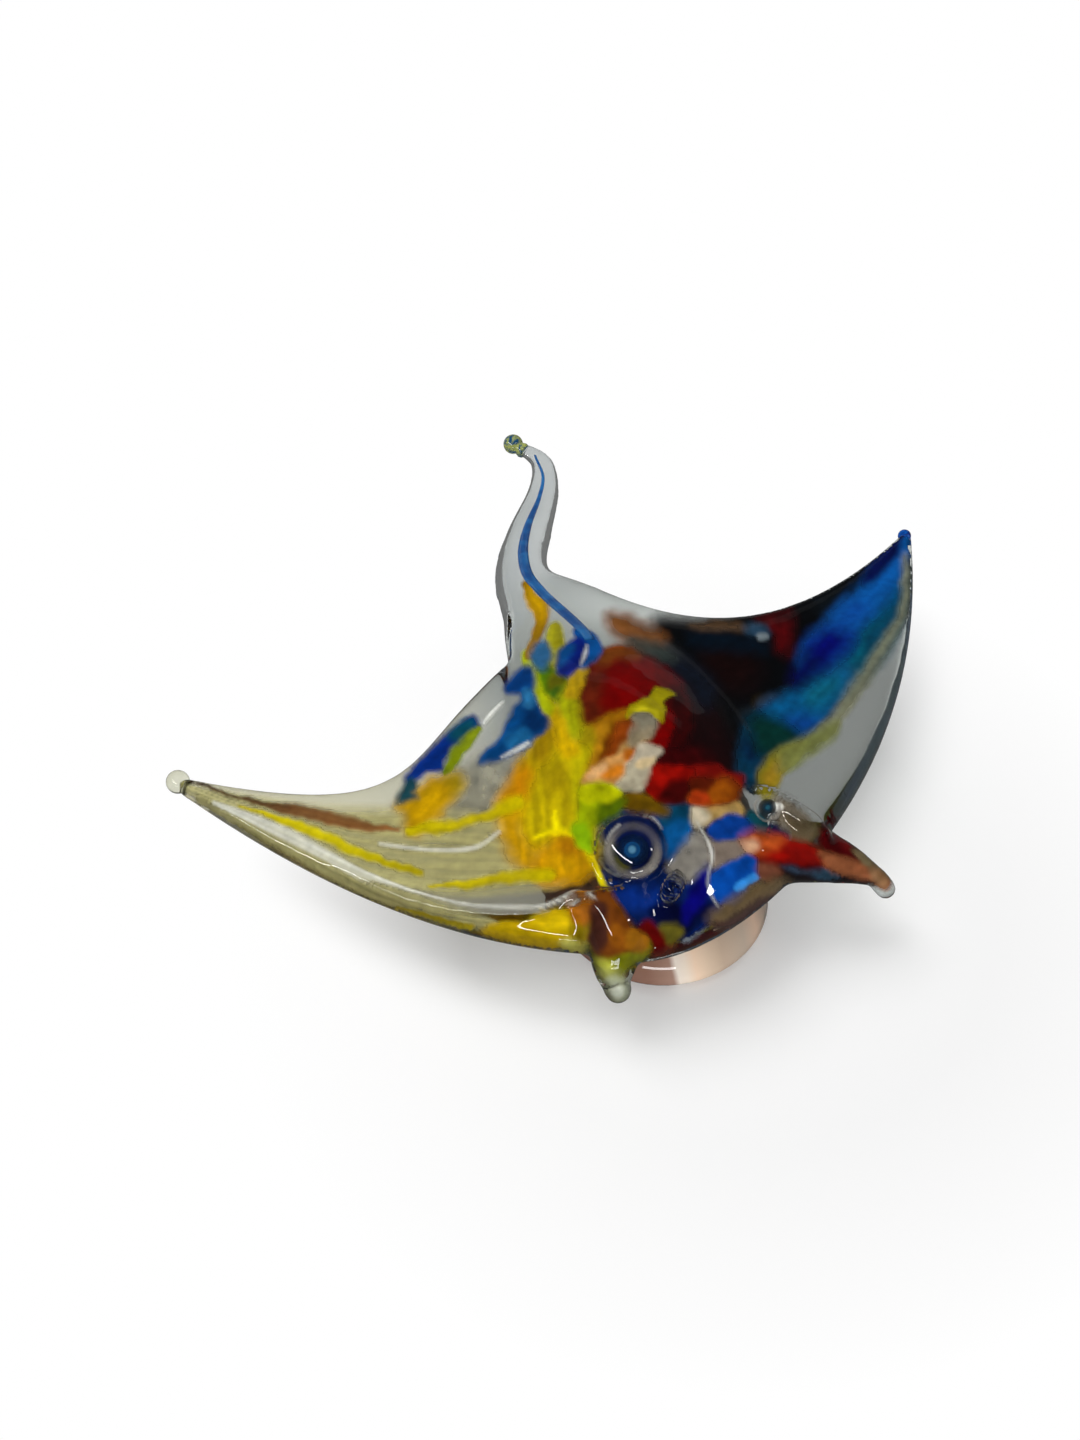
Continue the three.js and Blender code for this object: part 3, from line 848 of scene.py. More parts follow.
def mottled(places, along, across, seed):
    # Noise with one finer octave, drawn out by its two lengths
    return numpy.array([
        noise.noise((u / along, v / across, seed)) + 0.5 * noise.noise((2 * u / along, 2 * v / across, seed))
        for u, v in places
    ])


def pool(colour, *outline, soft=5, hides=1.0, grow=sheet["grow"]):
    # A blotch of melted glass: its colour, its outline in pixels, the width of its edge and how much it hides
    return {"colour": colour, "outline": outline, "soft": soft, "hides": hides, "grow": grow}


def smoothRing(outline):
    points = [Vector(place) for place in outline]
    points = points[-1:] + points + points[:2]
    last = len(points) - 1
    steps = sheet["ringSteps"]
    return numpy.array([throughPoints(points, (1 + k / steps) / last) for k in range(steps * (last - 2))])


def eased(share):
    return share ** 2 * (3 - 2 * share)


def poolLook(spots, blotch, seed):
    ring = blotch["ring"]
    run = numpy.roll(ring, -1, 0) - ring
    gap = spots[:, None] - ring
    share = numpy.clip((gap * run).sum(2) / (run ** 2).sum(1), 0, 1)
    away = gap - share[..., None] * run
    distance = numpy.hypot(away[..., 0], away[..., 1]).min(1)
    flat = numpy.where(run[:, 1] == 0, 1, run[:, 1])
    level = (gap[..., 1] < 0) != (gap[..., 1] - run[:, 1] < 0)
    inside = (level & (gap[..., 0] < gap[..., 1] * run[:, 0] / flat)).sum(1) % 2 == 1
    soft = blotch["soft"] * blotch["softer"] * sheet["edge"]
    depth = numpy.clip((numpy.where(inside, distance, -distance) + blotch["grow"]) / soft + 0.5, 0, 1)
    size = sheet["flow" if blotch["along"] else "mottle"]
    u, v = blotch["along"] or (1, 0)
    turned = zip(spots[:, 0] * u + spots[:, 1] * v, spots[:, 1] * u - spots[:, 0] * v)
    shade = 1 + size["strength"] * mottled(turned, size["length"], size["width"], seed)
    tint = numpy.array(linear(blotch["colour"])[:3]) * numpy.clip(shade, *sheet["shades"])[:, None]
    return eased(depth) * blotch["hides"], tint


def trailLook(spots, trail, seed):
    route, colour = trail["route"], trail["colour"]
    step = spots[:, None, :] - route[None, :, :2]
    gaps = numpy.hypot(step[..., 0], step[..., 1])
    nearest = (gaps / route[:, 2]).argmin(1)
    row = numpy.arange(len(spots))
    gap, half, shade = gaps[row, nearest], route[nearest, 2], route[nearest, 3]
    onward = route[numpy.minimum(nearest + 1, len(route) - 1), :2] - route[numpy.maximum(nearest - 1, 0), :2]
    onward = onward / numpy.linalg.norm(onward, axis=1)[:, None]
    beside = step[row, nearest]
    aside = beside[:, 1] * onward[:, 0] - beside[:, 0] * onward[:, 1]
    along = route[nearest, 4] + (beside * onward).sum(1)
    soft = numpy.clip(half * sheet["softShare"], sheet["softLeast"], sheet["softMost"])
    depth = numpy.clip((half - gap) / soft + 0.5, 0, 1)
    size = sheet["streak"]
    narrowing = numpy.maximum(half / route[:, 2].max(), size["finest"] / size["width"])
    streak = size["strength"] * mottled(zip(along, aside / narrowing), size["length"], size["width"], seed)
    deep, bright, hides = palette[colour]
    deep, bright = numpy.array(linear(deep)[:3]), numpy.array(linear(bright)[:3])
    shade = numpy.clip((shade + sheet["trailLift"]) * (1 + streak), 0, sheet["trailMost"])
    weight = eased(depth) * hides
    if colour in drawnThin:
        weight = numpy.clip(weight * (1 + streak), 0, 1)
    return weight, deep + (bright - deep) * shade[:, None]


def blend(places):
    # What the eye meets at each pixel where the colours lie over one another, worked from the deepest up
    still = numpy.array(places)
    drifted = numpy.array([drift(x, y) for x, y in places])
    seen = numpy.zeros((len(places), 3))
    cover = numpy.zeros(len(places))
    most = numpy.zeros(len(places))
    owner = numpy.full(len(places), -1)
    for seed, layer in enumerate(layersFromBelow):
        pixels = drifted if layer["drifts"] else still
        near = numpy.nonzero(((pixels > layer["low"]) & (pixels < layer["high"])).all(1))[0]
        if not len(near):
            continue
        weight, tint = layer["look"](pixels[near], layer, seed)
        seen[near] = seen[near] * (1 - weight[:, None]) + tint * weight[:, None]
        cover[near] = 1 - (1 - cover[near]) * (1 - weight)
        most[near] *= 1 - weight
        wins = weight > most[near]
        owner[near[wins]] = layer["chip"]
        most[near[wins]] = weight[wins]
    return seen / numpy.maximum(cover, sheet["bareCover"])[:, None], cover, owner


def toneLayers(shape):
    return shape.verts.layers.float_color.new("tone"), shape.verts.layers.float.new("cover")


def sheetGrid():
    # Places under the skin for a grid of pixels; at the outline a pixel moves in until it meets the glass
    columns = round((sheet["right"] - sheet["left"]) / sheet["step"])
    rows = round((sheet["bottom"] - sheet["top"]) / sheet["step"])
    grid = {}
    for i in range(columns):
        for j in range(rows):
            x, y = sheet["left"] + i * sheet["step"], sheet["top"] + j * sheet["step"]
            landed = underSkin(x, y)
            if landed is not None:
                grid[i, j] = (x, y, landed)
    around = [(i, j) for i in (-1, 0, 1) for j in (-1, 0, 1) if i or j]
    rim = {(i + di, j + dj) for i, j in grid for di, dj in around} - set(grid)
    snapped = {}
    for i, j in rim:
        x, y = sheet["left"] + i * sheet["step"], sheet["top"] + j * sheet["step"]
        inner = [grid[i + di, j + dj] for di, dj in around if (i + di, j + dj) in grid]
        goal = (sum(spot[0] for spot in inner) / len(inner), sum(spot[1] for spot in inner) / len(inner))
        for share in sheet["snapShares"]:
            moved = (x + (goal[0] - x) * share, y + (goal[1] - y) * share)
            landed = underSkin(*moved)
            if landed is not None:
                snapped[i, j] = (*moved, landed)
                break
    grid.update(snapped)
    return grid


def layColours(chipNames):
    grid = sheetGrid()
    order = {key: k for k, key in enumerate(grid)}
    spots = [spot[2] for spot in grid.values()]
    tones, covers, owners = blend([spot[:2] for spot in grid.values()])
    cells = {name: [] for name in chipNames}
    for i, j in grid:
        corners = [order.get(key) for key in ((i, j), (i, j + 1), (i + 1, j + 1), (i + 1, j))]
        if None in corners or max(covers[k] for k in corners) < sheet["leastCover"]:
            continue
        sides = [(spots[corners[k]] - spots[corners[k - 1]]).length for k in range(len(corners))]
        if max(sides) > sheet["tear"] * mm:
            continue
        shown = max(corners, key=lambda k: covers[k])
        cells[chipNames[owners[shown]]].append(corners)
    for name, quads in cells.items():
        shape = bmesh.new()
        tone, cover = toneLayers(shape)
        made = {}
        for k in sorted({k for quad in quads for k in quad}):
            made[k] = shape.verts.new(spots[k])
            made[k][tone] = (*tones[k], 1)
            made[k][cover] = covers[k]
        for quad in quads:
            shape.faces.new([made[k] for k in quad])
        colour = laid[name][0]
        nodes = [solidNodes[name]] if name in solidNodes else []
        piece = newPiece(name + "_glass", shape, glass[colour], slots.get(name, colour), *nodes)
        wall = piece.modifiers.new("thickness", "SOLIDIFY")
        wall.thickness = sheet["thick"] * mm
        wall.offset = -1
    smallest = min(len(quads) for quads in cells.values())
    print("colour sheet:", len(grid), "points, smallest chip:", smallest, "cells")


chips = {
    # hump
    "ruby_back": ("ruby", 2, [
        pool("640200", (580, 722), (578, 700), (581, 684), (588, 668), (598, 657), (612, 650),
             (630, 650), (648, 655), (664, 665), (678, 680), (686, 700), (684, 730), (672, 740),
             (660, 730), (664, 708), (668, 698), (660, 690), (648, 694), (636, 702), (626, 712),
             (612, 716), (598, 722)),
        pool("7a3c0c", (592, 662), (606, 651), (622, 647), (640, 651), (634, 658), (618, 658),
             (602, 664), soft=8),
        pool("601c0a", (581, 722), (580, 700), (586, 680), (596, 668), (604, 672), (600, 690),
             (602, 706), (598, 720), soft=10),
        pool("760000", (606, 700), (612, 680), (626, 666), (644, 670), (652, 684), (640, 694),
             (626, 702), (614, 708), soft=14),
        pool("300203", (667, 692), (678, 688), (689, 704), (690, 730), (677, 746), (666, 742),
             (670, 716), soft=12),
    ]),
    "maroon_flank": ("maroon", 3, [
        pool("180406", (640, 648), (662, 650), (690, 670), (712, 692), (732, 722), (746, 756),
             (750, 776), (736, 780), (716, 774), (696, 772), (676, 776), (662, 766), (666, 744),
             (670, 720), (674, 700), (666, 684), (650, 668), soft=12),
        pool("460203", (662, 706), (676, 694), (686, 704), (684, 724), (674, 744), (664, 752),
             (660, 736), (666, 720), soft=10),
        pool("380204", (658, 752), (684, 748), (704, 754), (716, 766), (700, 772), (680, 778),
             (660, 772), soft=10),
        pool("1c0404", (666, 780), (692, 778), (694, 800), (682, 809), (664, 807), (656, 796), soft=7),
    ]),
    "red_streak": ("ruby", 0, [
        pool("740000", (640, 743), (650, 732), (660, 722), (664, 712), (671, 716), (669, 730),
             (663, 745), (654, 748)),
        pool("780c06", (688, 773), (700, 766), (716, 766), (729, 772), (743, 776), (740, 785),
             (718, 782), (700, 783), soft=5),
    ]),
    "red_crown": ("ruby", 0, [
        pool("760602", (643, 768), (652, 764), (664, 768), (680, 767), (693, 770), (690, 778),
             (681, 784), (675, 795), (666, 802), (655, 797), (647, 788), (643, 778), soft=4),
        pool("980c04", (650, 771), (662, 770), (680, 771), (676, 776), (664, 781), (654, 782), soft=6),
        pool("3c0404", (662, 799), (670, 788), (684, 783), (690, 790), (684, 802), (670, 804), soft=6),
    ]),
    "orange_crown": ("orange", 0, [
        pool("843806", (689, 803), (698, 790), (712, 782), (726, 777), (737, 783), (737, 797),
             (727, 802), (704, 805), soft=6),
        pool("a45208", (712, 786), (726, 782), (732, 790), (726, 798), (714, 797), soft=6),
        pool("b0380e", (691, 801), (697, 793), (707, 793), (708, 801), (698, 804)),
        pool("541604", (692, 780), (704, 777), (712, 781), (704, 788), (694, 788), soft=6),
    ]),
    "amber_back": ("amber", 1, [
        pool("946006", (580, 726), (596, 722), (608, 715), (622, 710), (629, 716), (618, 724),
             (610, 742), (605, 756), (596, 764), (588, 774), (583, 785), (579, 768), (581, 748)),
        pool("ae7810", (596, 728), (606, 722), (604, 738), (598, 752), (591, 760), (592, 744), soft=6),
        pool("723804", (612, 726), (617, 724), (610, 744), (605, 756), (600, 760), (604, 744), soft=4),
        pool("9c880a", (580, 730), (592, 726), (594, 736), (588, 752), (582, 760), soft=6),
        pool("664a04", (619, 803), (632, 794), (646, 796), (657, 803), (666, 814), (644, 812),
             (628, 809), soft=6),
    ]),
    "peach_back": ("peach", 0, [
        pool("863a08", (618, 722), (632, 721), (635, 728), (627, 738), (617, 751), (606, 758),
             (611, 742)),
        pool("a8844c", (630, 736), (640, 731), (649, 729), (645, 740), (638, 747), (628, 753),
             (619, 757), (622, 746), soft=6),
        pool("cc9454", (584, 784), (592, 770), (603, 761), (617, 755), (630, 751), (637, 758),
             (631, 764), (634, 770), (625, 779), (616, 785), (600, 784), soft=4),
        pool("c87418", (604, 772), (614, 766), (624, 766), (622, 774), (612, 778), soft=6),
        pool("b46012", (626, 750), (632, 747), (636, 751), (630, 757), (625, 756), soft=4),
        # painted highlight: a pale peach spot on the hump's front
        pool("e4b07a", (590, 778), (598, 768), (606, 764), (606, 768), (598, 776), soft=4),
    ]),
    "ivory_back": ("ivory", 0, [
        pool("8c8470", (633, 714), (642, 711), (652, 713), (655, 722), (651, 734), (641, 740),
             (630, 744), (627, 737), (633, 724), soft=4, hides=0.8),
        pool("bcb09c", (637, 746), (654, 747), (660, 752), (653, 760), (649, 766), (638, 767),
             (628, 764), (634, 756), soft=4),
        pool("b0a690", (631, 766), (648, 766), (646, 778), (640, 788), (628, 791), (618, 788),
             (626, 778), soft=4),
        pool("dcc498", (640, 760), (654, 759), (652, 764), (640, 765), soft=3),
    ]),
    "lemon_back": ("yellow", 0, [
        pool("a49806", (625, 716), (630, 705), (640, 700), (650, 695), (656, 688), (665, 689),
             (674, 694), (666, 698), (662, 703), (666, 712), (660, 722), (652, 713), (645, 710),
             (636, 711), soft=2.5, grow=0.5),
        pool("c4b818", (632, 709), (642, 704), (652, 706), (659, 712), (658, 719), (652, 712),
             (644, 709), (636, 711), soft=2.5, grow=0),
    ]),
    # yellow band
    "yellow_spine": ("yellow", 1, [
        pool("c4ae06", (529, 758), (538, 742), (548, 734), (560, 740), (572, 748), (584, 746),
             (582, 768), (580, 790), (587, 812), (593, 830), (598, 848), (594, 864), (580, 860),
             (566, 848), (548, 848), (534, 854), (522, 840), (517, 816), (519, 790), (524, 770), soft=10),
        pool("a89206", (540, 768), (556, 764), (570, 770), (570, 786), (556, 792), (542, 788), soft=14),
        pool("c2b608", (575, 752), (585, 749), (582, 772), (581, 790), (591, 806), (595, 828),
             (586, 830), (579, 812), (573, 800), (572, 776), soft=8),
        pool("a8a80a", (566, 692), (574, 697), (579, 712), (580, 730), (572, 738), (564, 722),
             (559, 706), soft=7),
        pool("d8b004", (545, 698), (554, 705), (562, 718), (568, 734), (578, 750), (566, 756),
             (556, 744), (547, 724), (545, 710)),
        pool("b0b80a", (524, 654), (530, 661), (536, 674), (541, 687), (547, 696), (554, 706),
             (549, 713), (540, 703), (534, 690), (529, 674), (524, 664), soft=4),
        pool("c09c10", (568, 695), (572, 682), (578, 671), (585, 673), (582, 684), (577, 697), soft=4),
        pool("a49c10", (551, 626), (560, 625), (562, 645), (559, 664), (552, 662), (549, 645), soft=4),
        # painted highlight along the crease between shoulder and eye, in the yellow's bright tone
        [(534, 837, 2.5, 1), (548, 833, 4, 1), (562, 833, 4, 1), (574, 838, 3.5, 1), (583, 847, 3, .9),
         (592, 862, 3, .9), (601, 878, 2.5, 1), (608, 888, 2, .9)],
        [(555, 812, 2, 1), (556, 824, 3, 1), (556, 835, 3, 1)],
    ]),
    "orange_shoulder": ("amber", 0, [
        pool("c49404", (524, 760), (531, 772), (526, 792), (521, 812), (523, 836), (534, 850),
             (532, 868), (518, 864), (506, 846), (501, 824), (499, 806), (506, 790), (515, 774), soft=10),
        pool("c88204", (516, 776), (526, 770), (526, 784), (522, 800), (514, 806), (508, 800), soft=9),
        pool("a08006", (535, 740), (546, 722), (553, 728), (553, 746), (544, 760), (533, 762),
             (529, 750), soft=9),
        pool("c48e04", (533, 861), (542, 848), (556, 839), (571, 841), (582, 850), (590, 867),
             (578, 878), (560, 882), (544, 882), (532, 873), soft=8),
        pool("d8a204", (548, 858), (562, 854), (574, 862), (564, 872), (550, 872), soft=8),
        pool("b47806", (560, 842), (572, 842), (578, 850), (566, 854), soft=6),
    ]),
    "lime_cheek": ("lime", 0, [
        pool("94a404", (583, 800), (598, 799), (611, 799), (605, 811), (595, 821), (591, 834),
             (587, 848), (579, 837), (579, 820), soft=6),
        pool("566c04", (602, 806), (614, 799), (624, 803), (617, 813), (606, 819), (597, 823), soft=6),
        pool("b8bc04", (580, 793), (592, 785), (605, 784), (614, 787), (620, 794), (611, 801),
             (598, 801), (587, 803), soft=4),
        pool("84ac08", (573, 828), (584, 825), (589, 838), (590, 850), (580, 845)),
    ]),
    # trailing side of the wing with the clear bead
    "amber_wing": ("amber", 1, [
        pool("a88c10", (444, 779), (458, 772), (462, 782), (453, 795), (443, 798), soft=8),
        pool("b88e06", (422, 789), (436, 779), (447, 783), (449, 796), (441, 807), (435, 819),
             (420, 834), (408, 831), (406, 814), (400, 806), (411, 798), soft=8),
        pool("c89a02", (428, 796), (440, 790), (444, 798), (436, 810), (424, 816), (414, 812), soft=8),
    ]),
    "yellow_thread": ("yellow", 0, [
        [(410, 833, 4, .4), (436, 828, 6, .5), (460, 822, 5, .5), (480, 817, 5, .45),
         (500, 810, 7, .45), (518, 803, 8, .5)],
    ]),
    "blue_trail_outer": ("cobalt", 0, [
        pool("042a7c", (410, 774), (424, 757), (440, 741), (456, 727), (471, 716), (475, 722),
             (468, 737), (452, 749), (443, 757), (441, 766), (428, 770), (412, 778), soft=4),
        pool("064a5e", (450, 732), (462, 722), (472, 719), (470, 730), (458, 740)),
        pool("16404c", (401, 801), (405, 788), (412, 779), (417, 786), (412, 792), (417, 797), soft=4),
    ]),
    "blue_trail_inner": ("cobalt", 0, [
        pool("043a7c", (504, 688), (512, 678), (522, 671), (529, 667), (533, 680), (531, 689),
             (516, 691), soft=4),
        pool("04427e", (528, 687), (534, 696), (536, 708), (546, 717), (541, 729), (531, 735),
             (526, 743), (510, 751), (496, 758), (481, 762), (486, 752), (498, 742), (506, 730),
             (512, 716), (520, 706), (524, 696), soft=4),
        pool("022c60", (530, 704), (540, 714), (546, 720), (538, 728), (528, 730), (526, 716), soft=6),
        pool("2c78b0", (526, 690), (532, 694), (531, 704), (526, 704), soft=4),
        pool("1c6aa6", (508, 738), (526, 732), (527, 741), (512, 747)),
    ]),
    "blue_tail_root": ("cobalt", 0, [
        pool("2c6494", (533, 656), (536, 645), (543, 643), (550, 648), (550, 659), (543, 667),
             (535, 664), soft=7),
        pool("04509a", (578, 630), (590, 633), (599, 646), (597, 657), (588, 663), (582, 669),
             (577, 664), (584, 652), (582, 642), soft=4),
        pool("041c7a", (561, 656), (568, 647), (578, 639), (585, 641), (585, 652), (578, 665),
             (570, 675), (561, 673), (559, 664), soft=4),
        pool("064482", (560, 652), (568, 646), (574, 646), (570, 654), (564, 662), (560, 664)),
    ]),
    "green_fleck": ("green", 2, [
        pool("547a06", (537, 661), (548, 659), (558, 667), (567, 680), (567, 693), (556, 698),
             (545, 693), (539, 678)),
        pool("6a680c", (552, 676), (562, 672), (566, 682), (558, 688), (550, 686)),
        pool("3c6214", (556, 689), (566, 691), (567, 699), (558, 701), (550, 697), soft=4),
    ]),
    # head
    "cobalt_brow": ("cobalt", 2, [
        pool("06205c", (594, 830), (606, 815), (622, 809), (640, 809), (656, 815), (668, 827),
             (676, 846), (668, 859), (661, 867), (676, 880), (690, 884), (700, 870), (709, 866),
             (715, 884), (718, 906), (707, 922), (690, 936), (672, 932), (650, 928), (632, 918),
             (621, 902), (608, 886), (598, 864), (592, 846), soft=6),
        pool("062a7c", (614, 884), (630, 890), (650, 888), (662, 896), (650, 908), (634, 908),
             (622, 898), soft=8),
        pool("02062c", (650, 912), (670, 900), (684, 906), (700, 902), (712, 904), (700, 922),
             (684, 934), (664, 926), soft=10),
        pool("06046a", (684, 912), (690, 896), (700, 876), (709, 867), (708, 884), (704, 898),
             (696, 912), (688, 920), soft=6),
        pool("043c58", (660, 812), (676, 807), (693, 807), (693, 822), (680, 830), (664, 826), soft=6),
        pool("06508e", (664, 830), (676, 824), (690, 826), (688, 840), (676, 848), (668, 856),
             (662, 846), soft=7),
        pool("081644", (604, 838), (618, 822), (640, 818), (656, 830), (660, 850), (654, 868),
             (638, 880), (620, 876), (606, 860), soft=8),
        pool("3c4038", (606, 848), (614, 842), (618, 852), (614, 862), (607, 860), soft=6, hides=0.8),
        pool("5a5618", (616, 860), (624, 856), (629, 862), (625, 870), (618, 868), soft=5, hides=0.8),
    ]),
    "blue_snout_upper": ("cobalt", 0, [
        pool("063c94", (712, 826), (722, 818), (736, 816), (749, 821), (752, 830), (740, 837),
             (726, 840), (714, 837), soft=4),
    ]),
    "blue_snout_lower": ("cobalt", 0, [
        pool("0446a2", (711, 885), (718, 874), (728, 867), (742, 859), (753, 856), (758, 866),
             (757, 875), (744, 885), (734, 893), (726, 902), (715, 898), soft=4),
        pool("063c80", (726, 900), (738, 890), (746, 886), (742, 896), (732, 904), soft=4),
        pool("2e86d4", (737, 887), (748, 880), (756, 874), (758, 878), (748, 884), (740, 890), soft=2.5),
    ]),
    "red_lip": ("ruby", 0, [
        pool("5a2412", (658, 938), (676, 937), (670, 950), (656, 957)),
        pool("5c5418", (663, 926), (676, 923), (682, 930), (674, 941), (663, 938)),
        pool("560404", (639, 927), (650, 921), (660, 928), (665, 942), (663, 951), (652, 953),
             (641, 947), (637, 936)),
    ]),
    # drawn-out wing
    "brown_wing_streak": ("brown", 0, [[
        (190, 779, 1.5, .0), (228, 793, 2, .0), (263, 803, 3, .1), (288, 809, 5, .3),
        (318, 816, 6, .45), (350, 822, 6, .55), (376, 827, 4, .6), (398, 830, 2, .7),
    ]]),
    "yellow_wing_streak": ("yellow", 0, [[
        (240, 807, 1.5, .4), (270, 816, 3, .5), (299, 827, 5, .55), (334, 842, 6, .55),
        (360, 853, 5, .5), (392, 864, 4, .35), (420, 872, 4, .2),
    ]]),
    "yellow_fore_streak": ("yellow", 0, [
        [(430, 886, 2, .4), (460, 885, 4, .45), (484, 882, 5, .45), (512, 877, 6, .4),
         (546, 874, 7, .45)],
    ]),
    "yellow_fore_edge": ("yellow", 0, [
        [(398, 908, 2, .1), (430, 917, 3, .1), (470, 927, 4, .2)],
        pool("b89806", (484, 929), (500, 922), (526, 922), (536, 917), (556, 913), (569, 909),
             (576, 918), (580, 930), (573, 940), (556, 945), (530, 944), (508, 941), (493, 937)),
        pool("d0b008", (536, 920), (556, 915), (570, 912), (574, 920), (566, 930), (544, 928), soft=7),
        pool("c0b858", (560, 943), (574, 938), (589, 944), (582, 953), (570, 952)),
    ]),
    # deep-coloured wing
    "black_wing": ("black", 2, [
        pool("05283c", (898, 532), (910, 540), (909, 600), (899, 626), (881, 652), (857, 684),
             (839, 712), (817, 735), (796, 747), (777, 757), (765, 776), (752, 787), (742, 770),
             (744, 740), (740, 716), (764, 702), (800, 676), (812, 642), (846, 604), (886, 556), soft=6),
        pool("05070a", (660, 620), (700, 620), (740, 614), (766, 606), (800, 590), (840, 572),
             (862, 560), (888, 546), (884, 572), (862, 592), (846, 606), (830, 624), (814, 640),
             (804, 660), (802, 674), (784, 692), (764, 702), (740, 716), (752, 740), (740, 756),
             (726, 722), (706, 690), (690, 668), (674, 650), (660, 636), soft=10),
        pool("160606", (704, 652), (730, 650), (748, 654), (756, 672), (744, 688), (724, 688),
             (710, 674), soft=14),
        pool("041220", (690, 636), (710, 632), (736, 636), (758, 640), (764, 652), (744, 650),
             (716, 648), (698, 646), soft=8),
        pool("0a1218", (816, 600), (840, 592), (850, 594), (836, 606), (822, 612), soft=8),
        pool("0c1422", (658, 654), (680, 658), (700, 674), (712, 692), (706, 706), (690, 690),
             (674, 670), soft=10),
        pool("2a2008", (754, 700), (766, 697), (776, 698), (768, 704), (758, 705)),
    ]),
    "red_wing_fleck": ("ruby", 1, [
        pool("3a0408", (758, 616), (774, 610), (789, 612), (792, 640), (789, 654), (778, 652),
             (774, 636), (764, 630), soft=8),
        pool("540408", (770, 624), (784, 626), (786, 640), (780, 648), (776, 634), soft=6),
        # painted highlight: a blue-grey sheen and a pale glint on the dark wing
        pool("2a4660", (743, 628), (756, 623), (766, 627), (767, 637), (758, 637), (748, 635),
             soft=4, grow=0),
        pool("8c98a0", (757, 634), (764, 634), (765, 639), (758, 640), soft=2.5, grow=0),
    ]),
    "blue_wing": ("cobalt", 0, [
        pool("0a58a2", (896, 530), (910, 528), (907, 548), (903, 562), (899, 580), (887, 598),
             (873, 612), (859, 626), (847, 645), (835, 657), (820, 666), (804, 670), (802, 656),
             (812, 639), (826, 624), (840, 606), (856, 590), (872, 573), (886, 557), (893, 545), soft=7),
        pool("0a4ca0", (850, 602), (866, 598), (864, 612), (850, 626), (838, 630), (836, 618), soft=8),
        pool("0a5cb0", (898, 546), (904, 552), (896, 572), (882, 586), (868, 598), (862, 594),
             (876, 578), (888, 560), soft=7),
        pool("040c74", (810, 643), (826, 631), (842, 633), (849, 640), (839, 653), (826, 666),
             (813, 666), (806, 656), soft=9),
        pool("02044a", (798, 666), (812, 656), (819, 664), (809, 678), (794, 682), soft=9),
        pool("04104c", (876, 558), (888, 542), (898, 530), (897, 548), (886, 563), (874, 577),
             (862, 580), soft=4),
    ]),
    "teal_wing": ("teal", 1, [
        pool("2a5a6c", (840, 669), (858, 660), (876, 645), (890, 628), (898, 624), (889, 646),
             (874, 663), (860, 678), (847, 692), (835, 690), (832, 676), soft=8),
        pool("04566e", (903, 560), (906, 580), (904, 602), (894, 624), (881, 642), (867, 658),
             (852, 668), (840, 666), (852, 646), (868, 626), (886, 606), (898, 586), soft=7),
        pool("043e5a", (900, 596), (896, 614), (882, 634), (868, 646), (866, 636), (882, 618),
             (894, 600), soft=8),
        pool("06568a", (764, 706), (790, 695), (812, 683), (832, 671), (846, 667), (848, 682),
             (838, 697), (832, 711), (817, 726), (800, 737), (784, 734), (774, 720), soft=8),
        pool("0c6480", (808, 690), (826, 680), (838, 680), (832, 694), (818, 704), (808, 702), soft=8),
        pool("0a4496", (788, 720), (806, 716), (816, 722), (806, 732), (796, 738), (788, 734), soft=8),
        pool("043a58", (746, 728), (760, 730), (768, 748), (764, 764), (757, 782), (748, 780),
             (740, 762), (742, 744), soft=6),
        pool("021c40", (748, 740), (758, 742), (758, 756), (750, 760), (746, 750), soft=6),
    ]),
    "green_wing": ("green", 0, [
        pool("04302c", (751, 721), (772, 719), (792, 727), (800, 738), (785, 748), (768, 754),
             (757, 745), soft=8),
    ]),
    "amber_wing_root": ("amber", 0, [
        pool("8e8218", (761, 786), (763, 770), (772, 757), (784, 751), (796, 745), (808, 741),
             (797, 753), (785, 763), (779, 775), (773, 792), (765, 796)),
        pool("a88420", (766, 780), (772, 766), (782, 760), (778, 774), (772, 786)),
    ]),
}
